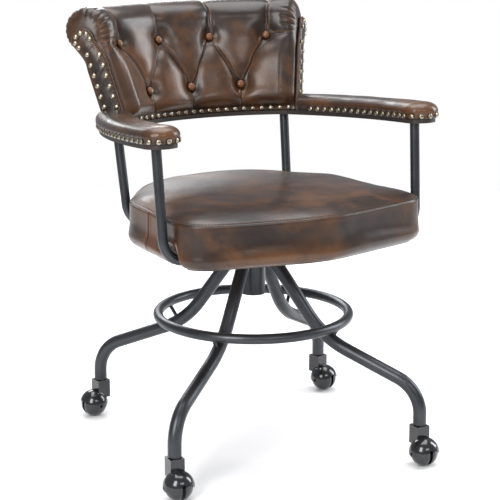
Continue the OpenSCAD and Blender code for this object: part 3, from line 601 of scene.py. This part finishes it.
def make_facing(name, node, mirror):
    """One end panel of the back: a padded sheet, filled with a fine mesh, and the piping along its edge."""
    outline, n_side = facing_outline()
    n = len(outline)
    lo, hi = outline.min(0), outline.max(0)
    gr, gz = np.meshgrid(np.arange(lo[0], hi[0], GRID), np.arange(lo[1], hi[1], GRID), indexing="ij")
    pts = np.stack([gr.ravel(), gz.ravel()], -1)
    seg = np.roll(outline, -1, 0)
    dist = np.full(len(pts), 9.0)
    inside = np.zeros(len(pts), bool)
    for a, b in zip(outline, seg):
        d, _ = to_segment(pts[:, 0], pts[:, 1], a, b)
        dist = np.minimum(dist, abs(d))
        cross = (a[1] > pts[:, 1]) != (b[1] > pts[:, 1])
        x = a[0] + (pts[:, 1] - a[1]) / (b[1] - a[1] + 1e-15) * (b[0] - a[0])
        inside ^= cross & (pts[:, 0] < x)
    keep = inside & (dist > 0.0018)
    pts, dist = pts[keep], dist[keep]
    flat = [Vector(p) for p in np.vstack([outline, pts])]
    res = delaunay_2d_cdt(flat, [(i, (i + 1) % n) for i in range(n)], [], 1, 1e-6)
    verts2, faces2 = np.array([tuple(v) for v in res[0]]), [list(f) for f in res[2]]
    d_all = np.full(len(verts2), 9.0)
    for a, b in zip(outline, seg):
        d, _ = to_segment(verts2[:, 0], verts2[:, 1], a, b)
        d_all = np.minimum(d_all, abs(d))
    d_all[:n] = 0
    round_r = 0.0034
    q = np.clip(d_all / round_r, 0, 1)
    height = 0.0080 - round_r * (1 - np.sqrt(1 - (1 - q) ** 2))
    height += 0.0016 * smooth_step(d_all, 0.004, 0.017)
    slant = np.stack([verts2[:, 0] * 1.4 + verts2[:, 1], verts2[:, 1] * 0.5, 0 * d_all], -1)
    wr = value_noise(slant, 0.012, 21)
    height += 0.0007 * wr * smooth_step(d_all, 0.003, 0.009)

    def place(rz, h):
        x = rz[:, 0] * math.sin(SWEEP) + (PANEL_GAP + h) * math.cos(SWEEP)
        y = -BACK_CY + rz[:, 0] * math.cos(SWEEP) - (PANEL_GAP + h) * math.sin(SWEEP)
        return rail(np.stack([-x if mirror else x, y, rz[:, 1]], -1))

    front = place(verts2, height)
    foot = place(outline, np.zeros(n))
    verts = np.vstack([front, foot])
    m = len(front)
    faces = faces2 + [[i, (i + 1) % n, m + (i + 1) % n, m + i] for i in range(n)]
    faces.append([m + i for i in range(n)])
    worn = np.r_[0.85 * np.exp(-d_all / 0.003) + 0.3 * smooth_step(wr, 0.1, 0.9), np.zeros(n)]
    # painted shade in the hollows of the wrinkles, and the hidden foot painted fully shaded
    ob = add_piece(name, verts, faces, LEATHER, "brown_leather", stands_for=[node], wear=np.clip(worn, 0, 1),
                   crease=np.r_[0.5 * smooth_step(-wr, 0.3, 0.9), np.ones(n)])
    face_outwards(ob)
    cord = outline[:n_side]
    cen = cord.mean(0)
    tan = np.gradient(cord, axis=0)
    tan /= np.linalg.norm(tan, axis=1)[:, None]
    away = np.stack([tan[:, 1], -tan[:, 0]], -1)
    if ((cord - cen) * away).sum() < 0:
        away = -away
    path = place(cord + away * 0.0006, np.full(n_side, 0.0046))
    v, f = tube_along(path, CORD_R, CORD_SIDES)
    pipe = add_piece(name + "_piping", v, f, PIPING, "brown_leather", wear=np.full(len(v), 0.42),
                     crease=np.zeros(len(v)))
    face_outwards(pipe)


# ---------------------------------------------------------------- arms
ARM_X, NOSE_Y, SPLAY, ARM_END_R = 0.278, -0.185, math.radians(27.5), 0.296
ARM_R = (ARM_X - ARM_END_R * math.sin(SWEEP)) / (1 - math.cos(SPLAY))
ARM_CY = ARM_END_R * math.cos(SWEEP) - BACK_CY - ARM_R * math.sin(SPLAY)


def arm_half_section():
    """Half of an arm's section, from the foot of its side to the crown, as (x, z)."""
    pts = [(0.0338, 0.0084), (0.0350, 0.0105), (0.0352, 0.0150), (0.0358, 0.0205), (0.0346, 0.0265),
           (0.0302, 0.0322), (0.0225, 0.0364), (0.0120, 0.0386), (0.0, 0.0392)]
    return spline([np.array(q) for q in pts], 0.0019)


def nail_centres(node):
    """Centre, outward axis and radius of each nail head or button in a CAD node."""
    co = np.array([v.co for v in NODES[node].data.vertices], float)
    key, back = np.unique(np.round(co * 2e4).astype(np.int64), axis=0, return_inverse=True)
    back = back.ravel()
    parent = np.arange(len(key))

    def root(a):
        while parent[a] != a:
            parent[a] = parent[parent[a]]
            a = parent[a]
        return a

    for e in NODES[node].data.edges:
        a, b = root(back[e.vertices[0]]), root(back[e.vertices[1]])
        if a != b:
            parent[a] = b
    label = np.array([root(i) for i in range(len(key))])
    pos = key / 2e4
    out = []
    for r in np.unique(label):
        p = pos[label == r]
        c = (p.min(0) + p.max(0)) / 2
        _, vec = np.linalg.eigh(np.cov((p - p.mean(0)).T))
        ax = vec[:, 0]
        t = (p - c) @ ax
        lo_set, hi_set = p[t < t.min() + 2e-4], p[t > t.max() - 2e-4]
        if np.ptp(lo_set, axis=0).max() < np.ptp(hi_set, axis=0).max():
            ax, lo_set = -ax, hi_set
        base = lo_set.mean(0)
        out.append((base, ax, np.linalg.norm(lo_set - base, axis=1).max()))
    return sorted(out, key=lambda q: tuple(np.round(q[0], 4)))


# a head's section as shares of its radius and height, and how dark its rim is painted: shade where it sits
# in the leather, on the nails with tarnish
NAIL = [(1.0, 0.0), (0.985, 0.14), (0.93, 0.36), (0.80, 0.62), (0.60, 0.83), (0.32, 0.96)], 1.45
CUSHIONED = [(1.0, 0.0), (1.0, 0.16), (0.93, 0.42), (0.78, 0.70), (0.55, 0.89), (0.28, 0.98)], 0.7


def domes(name, node, height, mat, slot, form=NAIL, sunk=0.0006):
    """One object of the small domed heads of a CAD node, each a little askew."""
    rng = np.random.default_rng(7)
    profile, rim_shade = form
    verts, faces, dark, worn = [], [], [], []
    sides = 18
    for base, ax, rad in nail_centres(node):
        tilt = rng.normal(0, 0.035, 3)
        ax = ax + tilt
        ax = ax / np.linalg.norm(ax)
        s = np.cross(ax, [0.31, 0.17, 0.93])
        s /= np.linalg.norm(s)
        t = np.cross(ax, s)
        a = np.arange(sides) * 2 * math.pi / sides + rng.uniform(0, 1)
        start = len(verts)
        grow = rng.uniform(0.97, 1.02)
        rows = [(1.0, -sunk / height), *profile]
        spokes = np.cos(a)[:, None] * s + np.sin(a)[:, None] * t
        for q, z in rows:
            verts.extend(base + ax * (z * height) + rad * grow * q * spokes)
            # painted shade, with tarnish on the brass nails, darkens each head towards its rim
            dark.extend([float(np.clip(rim_shade - 2.2 * z, 0, 1))] * sides)
            worn.extend([0.35 + 0.5 * max(z, 0)] * sides)
        verts.append(base + ax * height)
        dark.append(0.0)
        worn.append(0.9)
        faces += grid_faces(len(rows), sides, True, start)
        tip = start + len(rows) * sides
        last = start + (len(rows) - 1) * sides
        faces += [[last + j, last + (j + 1) % sides, tip] for j in range(sides)]
        faces.append([start + j for j in range(sides)][::-1])
    face_outwards(add_piece(name, verts, faces, mat, slot, stands_for=[node], wear=worn, crease=dark))


def make_arm(name, node, mirror, nails):
    """An arm's cover: its section swept round the splay and straight on, with a round nose."""
    half = arm_half_section()
    full = np.vstack([half, (half * [-1, 1])[::-1][1:]])
    rows = []
    for a in np.linspace(SPLAY + math.radians(2.0), 0, 150):
        c = np.array([ARM_X - ARM_R + ARM_R * math.cos(a), ARM_CY + ARM_R * math.sin(a)])
        rows.append((c, np.array([math.cos(a), math.sin(a)])))
    for y in np.linspace(ARM_CY, NOSE_Y, 32)[1:]:
        rows.append((np.array([ARM_X, y]), np.array([1.0, 0.0])))
    verts = [np.stack([c[0] + full[:, 0] * d[0], c[1] + full[:, 0] * d[1], full[:, 1]], -1) for c, d in rows]
    nv = len(full)
    body = np.concatenate(verts)
    faces = grid_faces(len(rows), nv, True)
    nose = []
    turns = np.linspace(0, math.pi, 49)
    for a in turns:
        x, y = ARM_X + half[:, 0] * math.cos(a), NOSE_Y - half[:, 0] * math.sin(a)
        nose.append(np.stack([x, y, half[:, 1]], -1))
    start = len(body)
    faces += grid_faces(len(turns), len(half), False, start)
    pts = np.vstack([body, *nose])
    # the nose's underside, then the arm's rear end
    faces.append([start + i * len(half) for i in range(len(turns))])
    faces.append(list(range(nv)))
    if mirror:
        pts = pts * [-1, 1, 1]
    me = bpy.data.meshes.new(name)
    me.from_pydata(rail(pts).tolist(), [], faces)
    bm = bmesh.new()
    bm.from_mesh(me)
    bmesh.ops.remove_doubles(bm, verts=bm.verts, dist=0.00012)
    sx = -1 if mirror else 1
    cut = PANEL_GAP + FACING_T
    on_plane = Vector(rail(np.array([sx * cut * math.cos(SWEEP), -BACK_CY - cut * math.sin(SWEEP), 0.0])))
    n_r = np.array([sx * math.cos(SWEEP), -math.sin(SWEEP), 0.0])
    n_w = Vector(rail(n_r) - rail(np.zeros(3)))
    everything = [*bm.verts, *bm.edges, *bm.faces]
    part = bmesh.ops.bisect_plane(bm, geom=everything, plane_co=on_plane, plane_no=n_w, clear_inner=True)
    rim = [e for e in part["geom_cut"] if isinstance(e, bmesh.types.BMEdge) and len(e.link_faces) == 1]
    if rim:
        bmesh.ops.holes_fill(bm, edges=rim, sides=0)
    bmesh.ops.recalc_face_normals(bm, faces=bm.faces)
    bm.to_mesh(me)
    bm.free()
    co = np.array([v.co for v in me.vertices], float)
    me_n = np.array([v.normal for v in me.vertices], float)
    local = co - np.array([0, RAIL_Y, RAIL_Z])
    c, s = math.cos(TILT), math.sin(TILT)
    zr = local[:, 1] * s + local[:, 2] * c
    yr = local[:, 1] * c - local[:, 2] * s
    near = np.full(len(co), 9.0)
    for centre, _, _ in nails:
        near = np.minimum(near, np.linalg.norm(co - centre, axis=1))
    band = smooth_step(zr, 0.0095, 0.013) * smooth_step(zr, 0.036, 0.020)
    pull = 0.0016 * (np.clip((near - 0.0040) / 0.006, 0, 1) - 0.55) * band
    pull += 0.0006 * value_noise(co, 0.03, 31) * smooth_step(zr, 0.016, 0.03)
    nose_w = smooth_step(-yr, 0.165, 0.200)
    fold = 0.5 + 0.5 * np.cos(np.arctan2(co[:, 0] - sx * ARM_X, -(yr - NOSE_Y)) * 9)
    pull -= 0.0009 * fold**4 * nose_w * smooth_step(zr, 0.033, 0.020)
    co = co + me_n * pull[:, None]
    me.vertices.foreach_set("co", co.astype(np.float32).ravel())
    patch = value_noise(co, 0.045, 33)
    worn = 0.30 * smooth_step(patch, -0.1, 0.8) + 0.75 * smooth_step(-yr, 0.08, 0.210) * (0.5 + 0.5 * patch)
    worn = worn + 0.35 * np.exp(-(((zr - 0.024) / 0.006) ** 2)) * smooth_step(patch, -0.6, 0.6)
    # painted shade in the puckers round the nails and along the arm's lower edge
    dark = np.clip(0.55 * np.exp(-(near / 0.0062) ** 4) + smooth_step(zr, 0.0115, 0.0088), 0, 1)
    ob = add_mesh(name, me, LEATHER, "brown_leather", [node], wear=np.clip(worn, 0, 1), crease=dark)


# ---------------------------------------------------------------- seat cushion
SEAT_LOW, SEAM_Z, SEAT_TOP, CROWN = 0.4040, 0.4870, 0.5065, 0.014
LOW_ROUND, MIDDLE_INSET, RIM_INSET = 0.022, 0.215, 0.050
BOARD_INSETS, BOARD_RECESS = (0.215, 0.16, 0.11, 0.07, 0.050, 0.0402), 0.033
TOP_INSETS = (0.0004, 0.0012, 0.0024, 0.004, 0.006, 0.0085, 0.0115, 0.015, 0.019, 0.024, 0.030, 0.037,
              0.045, 0.055, 0.067, 0.080, 0.095, 0.112, 0.130, 0.150, 0.170, 0.190, 0.205, 0.2148)
CLOTH_SHRINK, CLOTH_PRESSURE, CLOTH_CAP, CLOTH_FRAMES = 0.0022, 4.0, 0.005, 20
# the plan is the hull of these circles: x, y and radius, given for the right half
HALF_PLAN = [(0.194, -0.155, 0.070), (0.137, 0.010, 0.115), (0.030, 0.045, 0.180)]
CIRCLES = [(sx * x, y, radius) for x, y, radius in HALF_PLAN for sx in (-1, 1)] + [(0.0, -0.035, 0.230)]


def seat_outline(count):
    """Points of the seat's plan, evenly spaced, and their outward normals."""
    a = np.linspace(0, 2 * math.pi, 4000, endpoint=False)
    n = np.stack([np.cos(a), np.sin(a)], -1)
    reach = np.stack([n @ np.array(c[:2]) + c[2] for c in CIRCLES], -1)
    best = reach.argmax(-1)
    p = np.array([c[:2] for c in CIRCLES])[best] + n * np.array([c[2] for c in CIRCLES])[best][:, None]
    p = np.vstack([p, p[:1]])
    q = resample(p, np.linalg.norm(np.diff(p, axis=0), axis=1).sum() / count)[:-1]
    for _ in range(12):
        q = 0.5 * q + 0.25 * (np.roll(q, 1, 0) + np.roll(q, -1, 0))
    t = np.roll(q, -1, 0) - np.roll(q, 1, 0)
    t /= np.linalg.norm(t, axis=1)[:, None]
    return q, np.stack([t[:, 1], -t[:, 0]], -1)


def seat_grid(shrink=0.0):
    """The cushion as rings, from under the middle, up the side and over the top to the middle."""
    count = 560
    q, n = seat_outline(count)
    rings = []
    inset_low = [(i, BOARD_RECESS) for i in BOARD_INSETS]
    inset_low += [(0.0399, 0.027), (0.0398, 0.018), (0.0397, 0.009)]
    inset_low += [(0.0396, 0.0), (0.036, 0.0), (0.029, 0.0)]
    prof = [(i, SEAT_LOW + z + shrink) for i, z in inset_low]
    for a in np.linspace(0, 90, 14):
        a = math.radians(a)
        z = SEAT_LOW + LOW_ROUND * (1 - math.cos(a)) + shrink * (1 - a / 1.6)
        prof.append((LOW_ROUND * (1 - math.sin(a)) + shrink, z))
    for z in np.linspace(SEAT_LOW + LOW_ROUND, SEAM_Z, 32)[1:-1]:
        prof.append((shrink, z))
    prof.append((shrink, SEAM_Z - 0.0006))
    for i in TOP_INSETS:
        z = SEAM_Z + CROWN * (1 - (1 - min(i / MIDDLE_INSET, 1.0)) ** 5.5) * 0.93
        prof.append((i + shrink, z - shrink))
    centre = np.array([0.0, -0.012])
    for inset, z in prof:
        if inset <= RIM_INSET:
            xy = q - n * inset
        else:
            rim = q - n * RIM_INSET
            k = 1 - (inset - RIM_INSET) / (MIDDLE_INSET - RIM_INSET)
            xy = centre + (rim - centre) * max(k, 0.0015)
        rings.append(np.column_stack([xy, np.full(count, z)]))
    return np.stack(rings), np.array(prof)


def puffed(points, faces):
    """How far each point of a closed mesh moves when it is remeshed and blown up as cloth, with a cap."""
    me = bpy.data.meshes.new("puff")
    me.from_pydata(points.tolist(), [], faces)
    ob = bpy.data.objects.new("puff", me)
    bpy.context.scene.collection.objects.link(ob)
    bpy.context.view_layer.objects.active = ob
    mod = ob.modifiers.new("remesh", "REMESH")
    mod.mode = "VOXEL"
    mod.voxel_size = 0.006
    dg = bpy.context.evaluated_depsgraph_get()
    before = bpy.data.meshes.new_from_object(ob.evaluated_get(dg))
    ob.modifiers.clear()
    ob.data = before
    start = np.array([v.co for v in before.vertices], float)
    pins = ob.vertex_groups.new(name="pin")
    low = np.where(start[:, 2] < SEAT_LOW + 0.012)[0]
    pins.add([int(i) for i in low], 1.0, "REPLACE")
    cloth = ob.modifiers.new("cloth", "CLOTH")
    st = cloth.settings
    st.quality = 5
    st.mass = 0.3
    st.tension_stiffness = 12
    st.compression_stiffness = 12
    st.shear_stiffness = 6
    st.bending_stiffness = 1.2
    st.use_pressure = True
    st.uniform_pressure_force = CLOTH_PRESSURE
    st.vertex_group_mass = "pin"
    st.effector_weights.gravity = 0.0
    cloth.collision_settings.use_collision = False
    cloth.point_cache.frame_start, cloth.point_cache.frame_end = 1, CLOTH_FRAMES
    scene = bpy.context.scene
    for f in range(1, CLOTH_FRAMES + 1):
        scene.frame_set(f)
    dg = bpy.context.evaluated_depsgraph_get()
    after = bpy.data.meshes.new_from_object(ob.evaluated_get(dg))
    end = np.array([v.co for v in after.vertices], float)
    scene.frame_set(1)
    move = end - start
    length = np.linalg.norm(move, axis=1)[:, None]
    move *= np.minimum(1.0, CLOTH_CAP / np.maximum(length, 1e-9))
    corners = [list(p.vertices) for p in before.polygons]
    tree = BVHTree.FromPolygons([Vector(v) for v in start], corners)
    out = np.zeros_like(points)
    for i, p in enumerate(points):
        hit, _, face, _ = tree.find_nearest(Vector(p))
        ids = corners[face]
        d = np.linalg.norm(start[ids] - np.array(hit), axis=1)
        w = 1 / (d + 1e-4)
        out[i] = (move[ids] * w[:, None]).sum(0) / w.sum()
    bpy.data.objects.remove(ob)
    return out


# the front and the rear hoop: y, lean, splay and half the width at the top of the posts
HOOPS = ((-0.148, 4.7, 1.3, 0.278), (0.161, 8.5, 2.2, 0.190))
HOOP_Z, HOOP_BEND, TUBE_R, POST_CLEAR = 0.415, 0.042, 0.009, 0.0100


def arched(pts, rim):
    """Lifts the rim's lower edge in an arch over each hoop."""
    low = np.full(len(pts), SEAT_LOW)
    for front in (True, False):
        y, lean, _, _ = HOOPS[0] if front else HOOPS[1]
        x_post = abs(post_line(1, front)[0][0])
        centre_y = y + np.clip(pts[:, 2] - HOOP_Z, 0, 0.045) * math.tan(math.radians(lean))
        window = smooth_step(abs(pts[:, 1] - centre_y), 0.026, 0.0125)
        run = np.clip(abs(pts[:, 0]) - (x_post - HOOP_BEND), 0, HOOP_BEND - TUBE_R)
        reach = HOOP_BEND - TUBE_R
        top = HOOP_Z + HOOP_BEND - np.sqrt(np.maximum(reach**2 - run**2, 0)) + 0.0022
        low = np.maximum(low, SEAT_LOW + (top - SEAT_LOW) * window)
    high = 0.472
    z = pts[:, 2]
    squeezed = low + (z - SEAT_LOW) * (high - low) / (high - SEAT_LOW)
    pts[:, 2] = np.where(rim & (z < high), np.maximum(z, squeezed), z)
    return pts


def post_line(side, front):
    """The axis of a hoop's post, as two points."""
    y, lean, splay, top_x = HOOPS[0] if front else HOOPS[1]
    lean, splay = math.radians(lean), math.radians(splay)
    rise = RAIL_Z - HOOP_Z - (y - RAIL_Y) * math.tan(TILT)
    height = rise / (math.cos(lean) + math.sin(lean) * math.tan(TILT))
    out = []
    for h in (HOOP_BEND, height):
        x = top_x - (height - h) * math.tan(splay)
        out.append(np.array([side * x, y + h * math.sin(lean), HOOP_Z + h * math.cos(lean)]))
    return out


STITCH_ROW, STITCH_STEP, THREAD_R, THREAD_SIDES = 5, 0.0031, 0.00042, 5


def make_stitches(line):
    """A row of stitches inside the seam, one over every second step of the line."""
    verts, faces = [], []
    arch = [0, 0, 0.0003]
    for i in range(0, len(line) - 2, 2):
        a, b = line[i], line[i + 1]
        reach = (b - a) * 0.3
        path = np.array([a, a + reach + arch, b - reach + arch, b]) + [0, 0, 0.0002]
        v, f = tube_along(path, THREAD_R, THREAD_SIDES)
        faces += [[k + len(verts) for k in g] for g in f]
        verts.extend(v)
    add_piece("seat_stitches", verts, faces, THREAD, "brown_leather")


def make_seat():
    """The seat's cover: blown up as cloth, then seamed, creased and pushed clear of the hoops."""
    rings, prof = seat_grid()
    nr, count = rings.shape[:2]
    pts = rings.reshape(-1, 3).copy()
    faces = closed_faces(nr, count)
    small, _ = seat_grid(CLOTH_SHRINK)
    move = puffed(small.reshape(-1, 3), faces)
    move = move.reshape(nr, count, 3)
    for _ in range(160):
        move = 0.5 * move + 0.25 * (np.roll(move, 1, 1) + np.roll(move, -1, 1))
    for _ in range(12):
        inner = move.copy()
        inner[1:-1] = 0.5 * move[1:-1] + 0.25 * (move[2:] + move[:-2])
        move = inner
    pts = (small + move).reshape(-1, 3)
    inset, base_z = np.repeat(prof[:, 0], count), np.repeat(prof[:, 1], count)
    first_top = nr - len(TOP_INSETS)
    top = np.repeat(np.arange(nr) >= first_top, count)
    q, n = seat_outline(count)
    out = np.tile(np.column_stack([n, np.zeros(count)]), (nr, 1))
    up = np.array([0, 0, 1.0])
    under = (base_z < SEAT_LOW + 0.0008) & (inset < 0.0398)
    pts[under, 2] = SEAT_LOW + 0.0003
    rows = np.repeat(np.arange(nr), count)
    pts[rows < 10] = rings.reshape(-1, 3)[rows < 10]
    # the seam round the top edge: a groove under a narrow roll of leather
    d_seam = np.where(top, inset, np.abs(base_z - SEAM_Z))
    groove = np.exp(-((d_seam / 0.0016) ** 2))
    roll = np.exp(-(((d_seam - 0.0036) / 0.0020) ** 2)) * top
    pts = pts - out * (0.0016 * groove)[:, None] + up * (0.0009 * roll - 0.0006 * groove)[:, None]
    # the upright seams between the front and the side boxing
    arc = np.tile(np.r_[0, np.cumsum(np.linalg.norm(np.diff(q, axis=0), axis=1))], nr)
    side_seam = np.full(len(pts), 9.0)
    for sx in (-1, 1):
        j = np.argmin(np.where(q[:, 0] * sx > 0.15, abs(q[:, 1] + 0.045), 9))
        a0 = arc[j]
        side_seam = np.where(out[:, 0] * sx > 0.3, np.minimum(side_seam, abs(arc - a0)), side_seam)
    on_side = (~top) & (base_z > SEAT_LOW + 0.004)
    sg = np.exp(-((side_seam / 0.0022) ** 2)) * on_side
    sr = np.exp(-(((side_seam - 0.0048) / 0.0026) ** 2)) * on_side
    pts = pts + out * (-0.0015 * sg + 0.0006 * sr)[:, None]
    # soft drags in the leather
    broad = value_noise(pts * [1, 1, 1.6], 0.075, 41)
    noise = broad * 0.0011 + value_noise(pts * [1, 1, 0.6], 0.028, 43) * 0.0004
    on_top = noise * top * smooth_step(inset, 0.004, 0.03)
    pts = pts + out * (noise * on_side)[:, None] + up * on_top[:, None]
    # the leather gives where the posts lie against it, and a painted shade is marked there
    post_shade = np.zeros(len(pts))
    for side in (-1, 1):
        for front in (True, False):
            a, b = post_line(side, front)
            axis = (b - a) / np.linalg.norm(b - a)
            t = np.clip((pts - a) @ axis, 0, 0.3)
            near = a + t[:, None] * axis
            away = pts - near
            gap = np.linalg.norm(away, axis=1)
            push = np.clip(POST_CLEAR - gap, 0, 0.02)
            pts = pts + away / (gap[:, None] + 1e-9) * push[:, None]
            post_shade = np.maximum(post_shade, np.exp(-((gap - 0.0095) / 0.004)) * (gap < 0.03))
    pts = arched(pts, (~top) & (rows >= 6))
    pts[:, 2] = np.minimum(pts[:, 2], SEAT_TOP)
    patch = value_noise(pts, 0.06, 45)
    fine = value_noise(pts, 0.02, 47)
    edge = np.exp(-(((d_seam - 0.006) / 0.006) ** 2))
    lower = np.exp(-(((base_z - SEAT_LOW - 0.018) / 0.014) ** 2)) * (~top)
    corner = smooth_step(abs(pts[:, 0]) - pts[:, 1] * 0.6, 0.28, 0.36) * (~top)
    worn = 0.25 * edge * (0.6 + 0.4 * patch) + 0.62 * lower * smooth_step(patch, -0.9, 0.5)
    side_wear = 0.42 * smooth_step(patch + 0.3 * fine, -0.2, 0.9)
    worn += np.where(~top, side_wear, 0.30 * smooth_step(patch, 0.0, 0.9))
    worn += 0.4 * corner * smooth_step(patch, -0.8, 0.4)
    # painted shade in the seam grooves and where the posts lie against the sides
    dark = np.clip(0.9 * groove + 0.9 * sg + 0.5 * np.clip(post_shade, 0, 1) * (~top), 0, 1)
    ob = add_piece("seat_upholstery", pts, faces, LEATHER, "brown_leather", stands_for=["seat_cushion"],
                   wear=np.clip(worn, 0, 1), crease=dark)
    face_outwards(ob)
    row = pts.reshape(nr, count, 3)[first_top + STITCH_ROW]
    make_stitches(resample(np.vstack([row, row[:1]]), STITCH_STEP))


make_back()
make_shell()
make_outer()
make_facing("facing_panel_right", "facing_right", False)
make_facing("facing_panel_left", "facing_left", True)
arm_nail_places = nail_centres("arm_nails")
make_arm("arm_leather_right", "arm_pad_right", False, [q for q in arm_nail_places if q[0][0] > 0])
make_arm("arm_leather_left", "arm_pad_left", True, [q for q in arm_nail_places if q[0][0] < 0])
make_seat()
domes("nails_arms", "arm_nails", 0.0024, BRASS, "antique_brass")
domes("nails_facings", "facing_nails", 0.0024, BRASS, "antique_brass")
domes("nails_back", "back_nails", 0.0025, BRASS, "antique_brass")
domes("buttons_back", "tuft_buttons", 0.0056, BUTTON, "button_leather", CUSHIONED, 0.004)


# ---------------------------------------------------------------- stage and light
def make_stage():
    radius, sides = 2.6, 96
    me = bpy.data.meshes.new("floor")
    turns = np.linspace(0, 2 * math.pi, sides + 1)[:-1]
    ring = [(radius * math.cos(a), radius * math.sin(a), 0) for a in turns]
    me.from_pydata(ring, [], [tuple(range(sides))])
    floor = bpy.data.objects.new("floor", me)
    bpy.context.scene.collection.objects.link(floor)
    floor.location.z = -0.0004
    t = Tree("floor_paint")
    shade = t.ramp(t.noise(3.0, 3.0), [(0.2, (0.90, 0.90, 0.90)), (0.8, (0.93, 0.93, 0.93))])
    t.link(shade, t.shader.inputs["Base Color"])
    t.set(Roughness=0.85, Specular_IOR_Level=0.1)
    me.materials.append(t.mat)


def area_light(name, place, aim, size, power, colour=(1, 1, 1)):
    data = bpy.data.lights.new(name, "AREA")
    data.shape = "RECTANGLE"
    data.size, data.size_y = size
    data.energy = power
    data.color = colour
    ob = bpy.data.objects.new(name, data)
    bpy.context.scene.collection.objects.link(ob)
    ob.location = place
    ob.rotation_mode = "QUATERNION"
    ob.rotation_quaternion = (Vector(aim) - Vector(place)).to_track_quat("-Z", "Y")


def make_light():
    world = bpy.data.worlds.new("studio")
    bpy.context.scene.world = world
    world.use_nodes = True
    nt = world.node_tree
    bg = nt.nodes["Background"]
    bg.inputs["Strength"].default_value = 1.0
    path = nt.nodes.new("ShaderNodeLightPath")
    mix = nt.nodes.new("ShaderNodeMix")
    mix.data_type = "RGBA"
    nt.links.new(path.outputs["Is Camera Ray"], mix.inputs[0])
    mix.inputs[6].default_value = (0.36, 0.37, 0.39, 1)
    mix.inputs[7].default_value = (1.0, 1.0, 1.0, 1)
    nt.links.new(mix.outputs[2], bg.inputs["Color"])
    area_light("softbox_left", (-2.4, -1.5, 1.9), (0, 0, 0.5), (1.1, 1.9), 72, (1.0, 0.99, 0.98))
    area_light("softbox_top", (0.2, 0.3, 3.0), (0, 0, 0.5), (2.4, 2.4), 92)
    area_light("softbox_right", (2.6, -0.6, 1.5), (0, 0, 0.5), (0.9, 1.8), 52, (0.96, 0.98, 1.0))
    area_light("softbox_front", (-0.2, -3.4, 2.3), (0, 0, 0.45), (1.6, 0.7), 24, (1.0, 0.99, 0.98))
    area_light("softbox_back", (0.6, 2.6, 1.8), (0, 0, 0.6), (1.6, 1.0), 40, (0.97, 0.98, 1.0))


make_stage()
make_light()
bpy.context.scene.view_settings.view_transform = "Standard"
